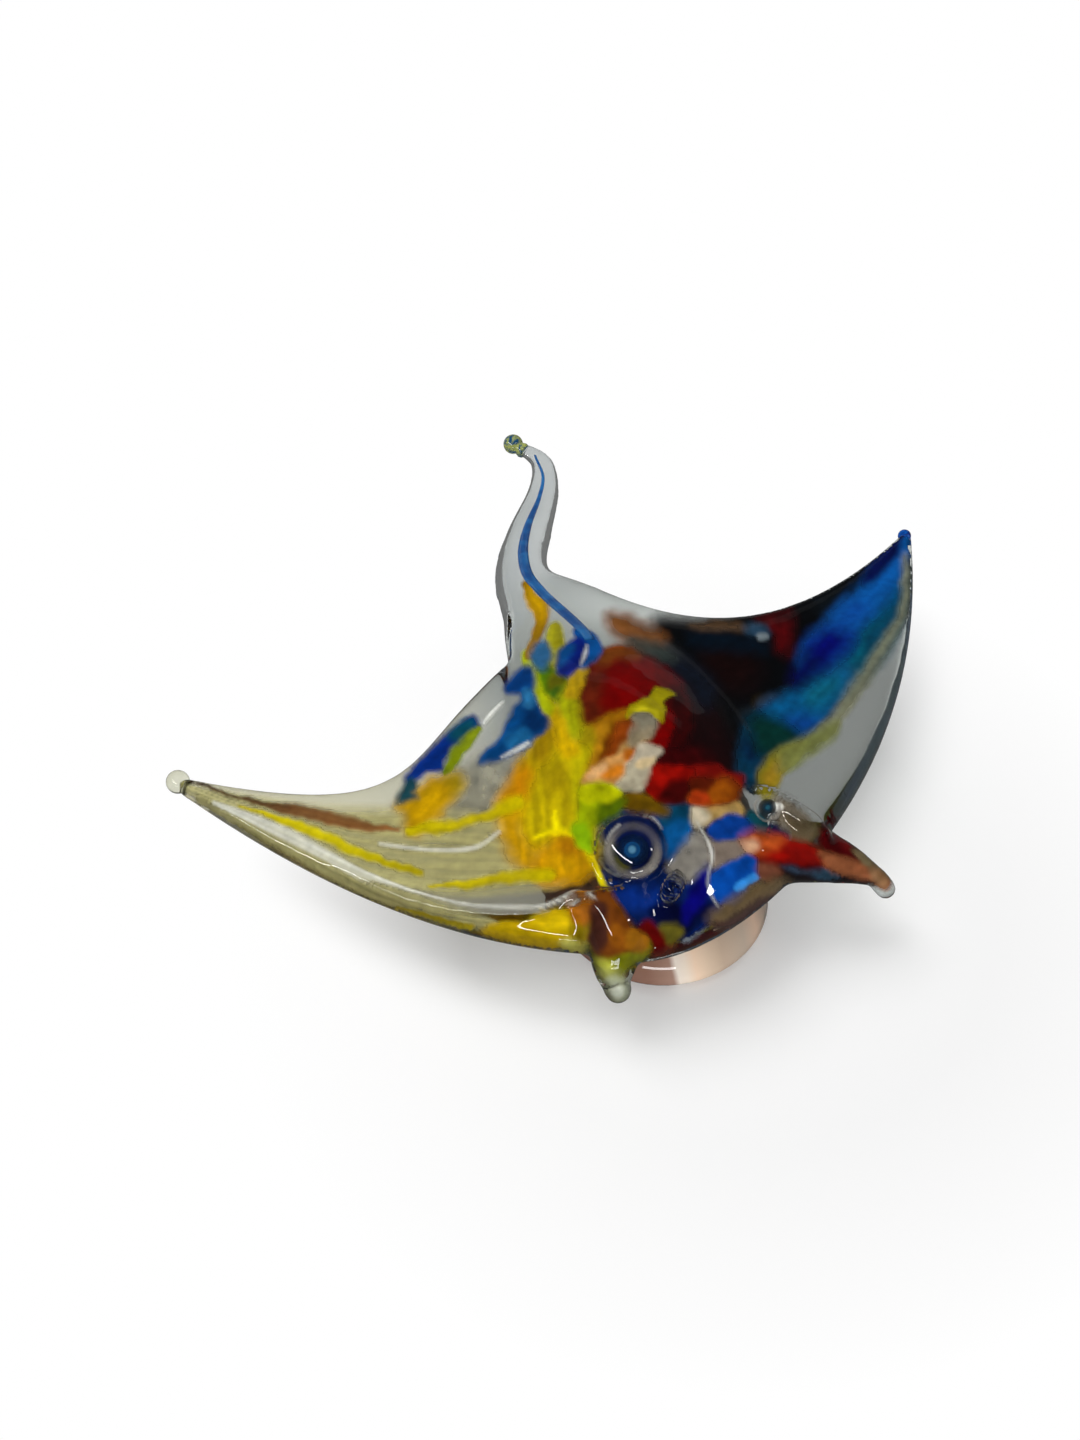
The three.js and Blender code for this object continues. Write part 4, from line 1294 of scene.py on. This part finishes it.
extraChips = {
    "amber_tail_base": ("amber", 1, [
        [(524, 586, 3, .2), (530, 598, 6, .6), (540, 608, 8, .6), (540, 622, 6, .3), (534, 640, 5, .1),
         (528, 656, 4, .2)],
    ]),
    "lime_fleck": ("lime", 0, [
        [(477, 727, 3, .5), (466, 740, 5, .45), (456, 750, 6, .35), (451, 762, 5, .25),
         (446, 770, 3, .1)],
    ]),
    "brown_flank": ("brown", 1, [
        pool("7c4a20", (610, 616), (626, 618), (640, 626), (652, 632), (664, 638), (652, 643),
             (638, 640), (618, 632), soft=8),
        # painted reflection: a dull blue-grey sheen along the hump's ridge
        pool("3c4440", (630, 640), (646, 642), (664, 650), (674, 658), (660, 660), (644, 652),
             soft=6, hides=0.8),
        pool("6e5034", (690, 624), (716, 622), (738, 624), (743, 629), (724, 631), (704, 629),
             hides=0.6, grow=0),
    ]),
    "straw_veil": ("straw", 2, [
        [(190, 790, 5, .5), (250, 812, 14, .5), (310, 832, 24, .5), (380, 848, 38, .45),
         (450, 852, 44, .4), (510, 856, 34, .4), (548, 866, 20, .4)],
        pool("8c8878", (460, 772), (484, 757), (508, 768), (516, 790), (502, 808), (472, 814),
             (450, 804), (452, 786), soft=14, hides=0.55),
    ]),
    "straw_rim": ("straw", 1, [
        [(200, 800, 4, .5), (260, 832, 8, .4), (320, 866, 9, .4), (380, 894, 10, .35),
         (440, 914, 9, .35), (490, 924, 7, .4)],
    ]),
    # milky streaks, with painted highlights and reflections among them
    "silver_streak": ("silver", 0, [
        # painted highlight along the wing's rim ridge and its curl into the fin
        [
            (214, 803, 2, .6), (246, 816, 4, .6), (292, 837, 6, .6), (330, 857, 5, .6),
            (366, 876, 3.5, .5), (418, 895, 1.2, .6), (470, 907, .7, .6),
            (532, 908, .7, .6), (560, 901, .7, .6), (580, 896, .7, .6), (596, 900, .7, .5),
            (606, 912, .8, .6), (610, 928, .8, .5), (611, 938, .6, .4),
        ],
        [(380, 844, 1.5, .5), (430, 850, 1.5, .5), (474, 848, 2, .6), (499, 832, 1.5, .6)],
        [(528, 743, 1.5, 1), (516, 750, 2, 1), (502, 757, 1, .8)],
        [(587, 646, 1, .8), (585, 654, 2, .9), (581, 664, 1, .7)],
        # painted highlight along the crease down the head
        [(697, 822, .8, .3), (704, 834, 1, .4), (711, 848, 1.6, .8), (712, 860, 1.4, .7),
         (709, 872, 1, .6), (708, 884, 1, .5), (712, 896, 1, .5), (718, 906, .8, .4)],
        # painted highlight at the wing root
        [(484, 723, 1, .8), (492, 713, 1.6, 1), (503, 702, .8, .8)],
        [(773, 808, 3, 1), (777, 807, 4, 1), (780, 807, 3, 1)],
        # painted reflection: two arcs on the big eye's dome
        [(606, 843, .5, .5), (611, 833, .8, .9), (619, 825, .8, .9)],
        [(644, 816, .5, .6), (654, 819, .8, .8), (661, 828, .6, .7)],
    ]),
    "khaki_band": ("straw", 0, [
        pool("868468", (903, 556), (908, 566), (909, 590), (905, 612), (895, 633), (885, 651),
             (871, 673), (859, 691), (849, 707), (839, 723), (826, 736), (814, 738), (834, 716),
             (846, 694), (862, 672), (878, 648), (892, 626), (902, 606), (904, 584), hides=0.8),
        pool("7a7e44", (779, 755), (796, 743), (812, 735), (826, 729), (838, 725), (831, 739),
             (816, 750), (800, 758), (790, 766), (779, 770), soft=6, hides=0.9),
    ]),
    "fin_red": ("ruby", 0, [
        pool("3a0204", (764, 855), (784, 856), (806, 858), (822, 864), (810, 870), (790, 864),
             (770, 866)),
        pool("70402e", (761, 866), (772, 863), (779, 872), (771, 880), (762, 876), soft=4),
        pool("8a0a04", (760, 846), (772, 837), (788, 839), (806, 845), (818, 855), (806, 860),
             (790, 858), (774, 860), (762, 856)),
        pool("ac481a", (744, 838), (756, 831), (770, 834), (782, 838), (772, 847), (760, 852),
             (750, 848), soft=6),
        pool("d8a884", (747, 841), (753, 840), (755, 846), (750, 850), (746, 846), soft=4),
        pool("7a0c08", (786, 846), (802, 848), (822, 857), (834, 864), (818, 862), (800, 857), soft=4),
    ]),
    "fin_brown": ("brown", 0, [
        pool("705c40", (710, 916), (726, 903), (744, 893), (760, 884), (780, 879), (792, 884),
             (776, 896), (756, 904), (736, 918), (718, 925), soft=6, hides=0.85),
        pool("462c2a", (714, 926), (736, 917), (756, 903), (776, 894), (798, 888), (790, 896),
             (770, 905), (750, 917), (732, 926), soft=4, hides=0.9),
        pool("8a5032", (822, 855), (840, 861), (860, 865), (880, 874), (890, 885), (882, 888),
             (868, 879), (846, 873), (830, 867), soft=4),
        pool("78684a", (854, 850), (868, 855), (881, 866), (889, 877), (880, 875), (866, 865), soft=3),
        pool("8a6444", (872, 869), (882, 871), (888, 878), (888, 885), (884, 888), (877, 884),
             (871, 876), soft=4),
    ]),
    "fin_maroon": ("maroon", 1, [
        pool("34302c", (776, 878), (800, 878), (826, 881), (800, 892), (780, 896), soft=6),
        pool("100208", (774, 866), (794, 868), (812, 874), (838, 877), (870, 878), (880, 880),
             (862, 884), (830, 884), (800, 880), (776, 876), soft=4),
        pool("480206", (822, 830), (832, 822), (843, 831), (853, 841), (864, 852), (874, 862),
             (856, 862), (838, 856), (824, 846), soft=4),
        pool("6c1010", (836, 834), (846, 840), (850, 848), (842, 846), soft=4),
        # painted highlight: a blue-grey streak along the fin
        pool("28465c", (780, 864), (796, 861), (812, 865), (830, 871), (840, 876), (826, 877),
             (810, 873), (794, 869), soft=3),
        pool("02043c", (756, 828), (770, 825), (786, 832), (781, 838), (768, 836), soft=4),
        pool("0a4450", (751, 813), (760, 815), (767, 822), (763, 829), (751, 827), soft=4),
    ]),
    "beige_temple": ("peach", 1, [
        pool("8c7c70", (712, 844), (730, 841), (746, 837), (754, 846), (745, 857), (726, 864),
             (713, 864), soft=6, hides=0.7),
        pool("6a5a44", (776, 800), (792, 803), (807, 818), (814, 833), (804, 840), (792, 832),
             (778, 818), soft=8, hides=0.6),
        pool("8a847c", (668, 864), (680, 850), (692, 840), (703, 838), (709, 852), (707, 866),
             (698, 872), (688, 880), (676, 877), soft=6, hides=0.65),
        pool("b49254", (694, 813), (712, 805), (728, 803), (739, 805), (742, 815), (728, 820),
             (712, 822), (697, 824)),
        pool("c8bca4", (692, 813), (702, 808), (708, 814), (702, 826), (695, 826), hides=0.9),
    ]),
}
finCores = {
    "right_head_fin": ("brown", 0, [
        pool("767810", (590, 946), (608, 954), (624, 952), (640, 946), (650, 946), (642, 960),
             (627, 970), (612, 975), (601, 968), (592, 957), soft=6, hides=0.9),
        pool("b0b040", (598, 958), (606, 962), (612, 972), (606, 976), (600, 970), hides=0.9),
        pool("b4b46a", (596, 970), (606, 972), (618, 974), (624, 980), (618, 986), (606, 984),
             (598, 980), soft=6, hides=0.5),
        # painted light on the drop: a pale sheet over its lower part for the bright glass, and a painted
        # highlight at its middle
        pool("b4b8a0", (603, 984), (612, 980), (624, 981), (629, 988), (627, 997), (618, 1001),
             (609, 996), soft=4, hides=0.7),
        pool("e8eadc", (613, 988), (618, 986), (622, 990), (619, 995), (614, 993), soft=4, hides=0.8),
        pool("867008", (574, 920), (590, 918), (593, 934), (582, 942), (574, 934), soft=6),
        pool("a46010", (573, 905), (584, 901), (595, 905), (595, 916), (584, 923), (575, 917), soft=6),
        pool("703a0e", (599, 890), (606, 888), (613, 902), (621, 914), (629, 926), (637, 938),
             (635, 949), (622, 954), (608, 958), (595, 952), (590, 940), (595, 926), (597, 910)),
        pool("46241c", (593, 904), (602, 906), (604, 922), (608, 938), (600, 951), (591, 947),
             (593, 926)),
        pool("8a4c0c", (614, 926), (624, 930), (634, 938), (630, 946), (618, 948), (612, 940)),
        pool("986010", (631, 931), (642, 935), (647, 946), (636, 951), (629, 946)),
    ]),
    "left_head_fin": ("brown", 2, [
        [(760, 856, 10, .0), (800, 862, 16, .0), (840, 864, 14, .1), (884, 880, 6, .4)],
    ]),
}
thread = [
    (535, 455, 1.2), (543, 476, 1.6), (539, 498, 2.2), (528, 525, 3.4), (523, 550, 4.6),
    (527, 573, 5.6), (540, 590, 6), (550, 600, 6),
    (566, 614, 6), (582, 629, 6), (590, 640, 5),
]
glass["thread"] = solidColour("cobalt glass, drawn thread", "0a4686", "1a66a8", 6)
solidExtras = ("straw_veil", "silver_streak", "brown_flank", "khaki_band")
solidNodes = {name: name + "_chip" for name in (*chips, *solidExtras)}
solidNodes.update({name: name for name in finCores})
slots = {"silver_streak": "ivory", "left_head_fin": "maroon", "orange_shoulder": "orange"}
laid = {**chips, **extraChips, **finCores}
chipNames = list(laid)
# Chips pulled along with the glass: the way they run in the photograph, and how much softer their edges are
flowing = {
    "black_wing": ((-0.85, 0.53), 1.5),
    "blue_wing": ((-0.6, 0.8), 1.8),
    "teal_wing": ((-0.6, 0.8), 1.8),
    "green_wing": ((-0.8, 0.6), 1.6),
    "khaki_band": ((-0.6, 0.8), 1.5),
    "amber_wing_root": ((-0.6, 0.8), 1.4),
    "red_wing_fleck": ((0.3, 0.95), 1.4),
    "brown_flank": ((0.9, 0.44), 1.5),
    "maroon_flank": ((0.5, 0.87), 1.4),
    "yellow_spine": ((0.1, 1), 1.2),
    "orange_shoulder": ((0, 1), 1.3),
    "amber_wing": ((-0.7, 0.7), 1.3),
    "blue_trail_outer": ((0.75, -0.66), 1.5),
    "blue_trail_inner": ((0.75, -0.66), 1.4),
    "yellow_fore_edge": ((1, 0), 1.2),
    "fin_red": ((0.93, 0.37), 1.6),
    "fin_brown": ((0.85, -0.53), 1.4),
    "fin_maroon": ((0.93, 0.3), 1.3),
}
layersFromBelow = []
for name, (colour, depth, shapes) in sorted(laid.items(), key=lambda entry: -entry[1][1]):
    for shape in shapes:
        if isinstance(shape, dict):
            ring = smoothRing(shape["outline"])
            along, softer = flowing.get(name, (None, 1))
            layer = {**shape, "look": poolLook, "drifts": True}
            layer.update(ring=ring, along=along, softer=softer)
            reach = shape["soft"] * softer * sheet["edge"] + sheet["grow"]
        else:
            route = evenRoute([Vector(point) for point in shape], plane=True)
            points = max(sheet["trailLeast"], round(route.length / sheet["trailStep"]))
            ring = numpy.array([(*route(k / points), k / points * route.length) for k in range(points + 1)])
            layer = {"look": trailLook, "drifts": colour not in drawnThin, "colour": colour, "route": ring}
            reach = ring[:, 2].max() + sheet["softMost"]
        layer["chip"] = chipNames.index(name)
        layer["low"], layer["high"] = ring[:, :2].min(0) - reach, ring[:, :2].max(0) + reach
        layersFromBelow.append(layer)
layColours(chipNames)

threadShape = bmesh.new()
threadRoute = evenRoute([underSkin(x, y) / mm for x, y, _ in thread])
threadHalf = [half * mmPerPixel for _, _, half in thread]
threadFlatness = 0.6


def threadSection(share):
    at = min(share, nearEnd) * (len(threadHalf) - 1)
    wide = threadHalf[int(at)] + (threadHalf[int(at) + 1] - threadHalf[int(at)]) * (at - int(at))
    return wide, wide * threadFlatness


drawnRod(threadShape, threadRoute, threadSection, steps=60, sides=12)
newPiece("tail_thread_glass", threadShape, glass["thread"], "cobalt", "tail_thread")
print("colours laid:", len(laid))


# Beads, eyes and foot

def turnedShape(profile, seat, axis, steps=48):
    shape = bmesh.new()
    side = axis.orthogonal().normalized()
    verts = [shape.verts.new(seat + (side * r + axis * h) * mm) for r, h in profile]
    edges = [shape.edges.new(pair) for pair in zip(verts, verts[1:])]
    bmesh.ops.spin(
        shape, geom=verts + edges, cent=seat, axis=axis, dvec=(0, 0, 0),
        angle=2 * math.pi, steps=steps, use_merge=True,
    )
    bmesh.ops.remove_doubles(shape, verts=shape.verts, dist=weldGap)
    bmesh.ops.recalc_face_normals(shape, faces=shape.faces)
    return shape


# Ends nipped off hot: a neck that swells to a bead, pointing on from the glass behind it
nips = {
    "right_wing_tip_bead": {
        "from": (-76, 45, 12), "neck": 1.3, "bead": 2.6, "length": 6,
        "glass": "drop", "slot": "clear",
    },
    "left_wing_tip_bead": {
        "from": (94, 52, 12), "neck": 1.5, "bead": 1.6, "length": 3.6,
        "glass": "blueTip", "slot": "cobalt",
    },
    "tail_tip_bead": {
        "from": (26.2, 112.5, 19.5), "neck": 1.9, "bead": 2.4, "length": 6,
        "glass": "swirlTip", "slot": "lime",
    },
}
nipForm = {"root": 0.9, "waist": 0.6, "ballFrom": -50, "ballStep": 10}
glass["blueTip"] = solidColour("cobalt glass, nipped tip", "041a70", "0c56b0", 3)
glass["swirlTip"] = solidColour("blue and lime glass, nipped tip", "1c4a70", "a8b060", 2)


def nippedEnd(nip):
    # Half outline of the neck and the ball, from inside the glass to the end
    tall, neck, bead = nip["length"], nip["neck"], nip["bead"]
    outline = [(0, 0), (neck * nipForm["root"], 0), (neck, (tall - 2 * bead) * nipForm["waist"])]
    turns = [math.radians(angle) for angle in range(nipForm["ballFrom"], 90, nipForm["ballStep"])]
    outline += [(bead * math.cos(t), tall - bead + bead * math.sin(t)) for t in turns]
    return outline + [(0, tall)]


for node, nip in nips.items():
    centre, _ = nodeBox(node)
    axis = (centre - Vector(nip["from"]) * mm).normalized()
    seat = centre - axis * (nip["length"] - nip["bead"]) * mm
    end = turnedShape(nippedEnd(nip), seat, axis, steps=32)
    newPiece(node + "_glass", end, glass[nip["glass"]], nip["slot"], node)

eyeParts = {
    "right": {
        "ring": 4.6, "hoop": 1.3, "pupil": 3.0, "sunk": 1.6,
        # tones out from the centre: a painted glint, the blue, the dark rim
        "tones": ("4c7c9a", "0c3a66", "04183a"),
    },
    "left": {
        "ring": 2.7, "hoop": 0.5, "pupil": 1.9, "sunk": 0.9,
        # lighter at the centre, darker to the rim
        "tones": ("1c4a5a", "06283a", "020c14"),
    },
}
eyeRing = {
    "tone": "8e867e",
    "steps": 12,
    "flatness": 0.5,
    "cover": 0.12,
    "lowRight": 0.5,  # more milk where the photograph shows it
    "leftSide": 0.4,
}
eyePupil = {"flatness": 0.5, "bands": (0.25, 0.55), "cover": 0.95, "fade": 0.6}
eyeColours = {
    "pupil": casedColour("navy glass, pupil"),
    "ring": casedColour("milky glass, eye ring"),
}


def dome(radius, height, steps=10):
    arc = [math.pi / 2 * k / steps for k in range(steps + 1)]
    return [(0, 0)] + [(radius * math.cos(a), height * math.sin(a)) for a in arc]


def fromAxis(place, seat, axis):
    return (place - seat) - axis * (place - seat).dot(axis)


def applyEye(side):
    parts = eyeParts[side]
    top, axis = skinPoint(skinTree, *eyes[side]["at"])
    seat = top - axis * (parts["sunk"] + parts["hoop"]) * mm
    around = [k * 2 * math.pi / eyeRing["steps"] for k in range(eyeRing["steps"] + 1)]
    tube, tubeHeight = parts["hoop"], parts["hoop"] * eyeRing["flatness"]
    hoop = [(parts["ring"] + tube * math.cos(a), tubeHeight * math.sin(a)) for a in around]
    ring = turnedShape(hoop, seat, axis)
    tone, cover = toneLayers(ring)
    for vert in ring.verts:
        outward = fromAxis(vert.co, seat, axis)
        across = (outward.length / mm - parts["ring"]) / tube
        turn = outward.normalized()
        lowRight = max(0, turn.dot(rightward) - turn.dot(upward)) / math.sqrt(2)
        leftSide = max(0, -turn.dot(rightward))
        milk = eyeRing["cover"] + eyeRing["lowRight"] * lowRight ** 2 + eyeRing["leftSide"] * leftSide ** 4
        vert[tone] = linear(eyeRing["tone"])
        vert[cover] = milk * max(0, 1 - across ** 2) ** 2
    newPiece(side + "_eye_ring_glass", ring, eyeColours["ring"], "brown", side + "_eye_ring")
    pupil = turnedShape(dome(parts["pupil"], parts["pupil"] * eyePupil["flatness"]), seat, axis)
    tone, cover = toneLayers(pupil)
    for vert in pupil.verts:
        share = fromAxis(vert.co, seat, axis).length / mm / parts["pupil"]
        # bands of tone from the centre out; the right pupil's first is a painted glint
        band = sum(share >= edge for edge in eyePupil["bands"])
        vert[tone] = linear(parts["tones"][band])
        vert[cover] = eyePupil["cover"] - eyePupil["fade"] * share ** 3
    newPiece(side + "_eye_pupil_glass", pupil, eyeColours["pupil"], "cobalt", side + "_eye_pupil")


for side in ("right", "left"):
    applyEye(side)

# The foot, round to the front and a little longer behind
footForm = {
    "middle": (0, -3.4, 0),
    "radius": 23.0,
    "rim": ((0.86, 0), (0.96, 0.9), (1, 2.6), (0.97, 4.4)),  # shares of the radius, heights
    "shoulder": ((0.84, 0.72), (0.6, 1)),  # shares of the radius, shares of the height
}
footCentre, footHalf = nodeBox("foot")
footSeat = Vector(footForm["middle"]) * mm
footRadius, footHeight = footForm["radius"], 2 * footHalf.z / mm
footProfile = [(0, 0)]
footProfile += [(footRadius * share, height) for share, height in footForm["rim"]]
footProfile += [(footRadius * share, footHeight * rise) for share, rise in footForm["shoulder"]]
footProfile.append((0, footHeight))
foot = turnedShape(footProfile, footSeat, zUp, steps=64)
footStretch = (footCentre.y + footHalf.y - footSeat.y) / (footRadius * mm)
footRear = [vert for vert in foot.verts if vert.co.y > footSeat.y]
bmesh.ops.scale(foot, vec=(1, footStretch, 1), space=Matrix.Translation(-footSeat), verts=footRear)
newPiece("foot_glass", foot, glass["pink"], "pink", "foot")
print("bits added")


# Floor, lamps and world

studio = {
    "floor": "f9f9f9",
    "floorSize": 6.0,
    "world": 0.03,
    "backdrop": 0.2,
    "whiteShare": 0.3,
    "mirrored": 0.1,
    # centre and reach of the painted whitening that fades the shadow away from the head
    "middle": (12, -12, 0),
    "whiteFrom": 35,
    "whiteTo": 105,
}


def paleFloor():
    # Matt white sweep: a part of its brightness is its own, and it is dimmer in the glass than to the eye
    material, tree = newMaterial("matt white paper sweep")
    paper = addNode(tree, "ShaderNodeBsdfPrincipled", {
        "Base Color": linear(studio["floor"]),
        "Roughness": 0.9,
    })
    path = addNode(tree, "ShaderNodeLightPath")
    mirrored = addNode(tree, "ShaderNodeMath", {
        0: path.outputs["Is Glossy Ray"],
        1: path.outputs["Is Transmission Ray"],
    }, operation="SUBTRACT", use_clamp=True).outputs[0]
    glow = addNode(tree, "ShaderNodeMapRange", {
        "Value": mirrored,
        "To Min": 1.0,
        "To Max": studio["mirrored"],
    })
    white = addNode(tree, "ShaderNodeEmission", {"Color": (1, 1, 1, 1), "Strength": glow.outputs[0]})
    seen = addNode(tree, "ShaderNodeMath", {
        0: path.outputs["Is Camera Ray"],
        1: path.outputs["Is Transmission Ray"],
    }, operation="MAXIMUM")
    share = addNode(tree, "ShaderNodeMath", {
        0: seen.outputs[0],
        1: studio["whiteShare"],
    }, operation="MULTIPLY")
    share = addNode(tree, "ShaderNodeMath", {0: share.outputs[0], 1: mirrored}, operation="MAXIMUM")
    # painted light: to the eye the floor turns self-lit white with distance from below the head, fading the
    # object's shadow further out
    place = addNode(tree, "ShaderNodeTexCoord").outputs["Object"]
    middle = Vector(studio["middle"]) * mm
    away = addNode(tree, "ShaderNodeVectorMath", {0: place, 1: middle}, operation="DISTANCE")
    far = addNode(tree, "ShaderNodeMapRange", {
        "Value": away.outputs["Value"],
        "From Min": studio["whiteFrom"] * mm,
        "From Max": studio["whiteTo"] * mm,
        "To Max": path.outputs["Is Camera Ray"],
    })
    share = addNode(tree, "ShaderNodeMath", {0: share.outputs[0], 1: far.outputs[0]}, operation="MAXIMUM")
    mix = addNode(tree, "ShaderNodeMixShader", {
        0: share.outputs[0],
        1: paper.outputs[0],
        2: white.outputs[0],
    })
    endMaterial(tree, mix.outputs[0])
    return material


floorShape = bmesh.new()
bmesh.ops.create_grid(floorShape, x_segments=1, y_segments=1, size=studio["floorSize"] / 2)
floorMesh = bpy.data.meshes.new("floor")
floorShape.to_mesh(floorMesh)
floorShape.free()
floorMesh.materials.append(paleFloor())
floor = bpy.data.objects.new("floor", floorMesh)
bpy.context.scene.collection.objects.link(floor)

lamps = {
    "overhead": {
        "azimuth": -120, "elevation": 80, "distance": 1.1,
        "size": (1.0, 1.0), "power": 5.6, "soft": True,
    },
    "softbox": {
        "azimuth": -158, "elevation": 56, "distance": 0.9,
        "size": (0.55, 0.55), "power": 6.0, "soft": True,
    },
    "front": {
        "azimuth": 0, "elevation": 7, "distance": 0.9,
        "size": (0.5, 0.12), "power": 5.0, "soft": True,
    },
    "stripLeft": {
        "azimuth": -75, "elevation": 40, "distance": 0.7,
        "size": (0.8, 0.035), "power": 2.1, "soft": False,
    },
    "stripBack": {
        "azimuth": 150, "elevation": 16, "distance": 1.0,
        "size": (1.0, 0.12), "power": 0.018, "soft": False,
    },
    "stripFront": {
        "azimuth": -25, "elevation": 8, "distance": 1.0,
        "size": (0.5, 0.06), "power": 0.8, "soft": False,
    },
    "glintRight": {
        "azimuth": 30, "elevation": 48, "distance": 0.7,
        "size": (0.05, 0.05), "power": 0.25, "soft": False,
    },
}
for name, lamp in lamps.items():
    light = bpy.data.lights.new(name, "AREA")
    light.shape = "RECTANGLE"
    light.size, light.size_y = lamp["size"]
    light.energy = lamp["power"]
    holder = bpy.data.objects.new(name, light)
    out = towards(lamp["azimuth"], lamp["elevation"])
    holder.location = cameraTarget + out * lamp["distance"]
    holder.rotation_euler = out.to_track_quat("Z", "Y").to_euler()
    holder.visible_glossy = not lamp["soft"]  # large lamps light the colours, small ones give the glints
    holder.visible_diffuse = lamp["soft"]
    holder.visible_transmission = False
    bpy.context.scene.collection.objects.link(holder)

world = bpy.data.worlds.new("studio")
world.use_nodes = True
world.node_tree.nodes.clear()
path = addNode(world.node_tree, "ShaderNodeLightPath")
level = addNode(world.node_tree, "ShaderNodeMapRange", {
    "Value": path.outputs["Is Transmission Ray"],
    "To Min": studio["world"],
    "To Max": studio["backdrop"],
})
level = addNode(world.node_tree, "ShaderNodeMath", {
    0: level.outputs[0],
    1: path.outputs["Is Camera Ray"],
}, operation="MAXIMUM")
sky = addNode(world.node_tree, "ShaderNodeBackground", {"Color": (1, 1, 1, 1), "Strength": level.outputs[0]})
addNode(world.node_tree, "ShaderNodeOutputWorld", {"Surface": sky.outputs[0]})
bpy.context.scene.world = world
print("stage lit")
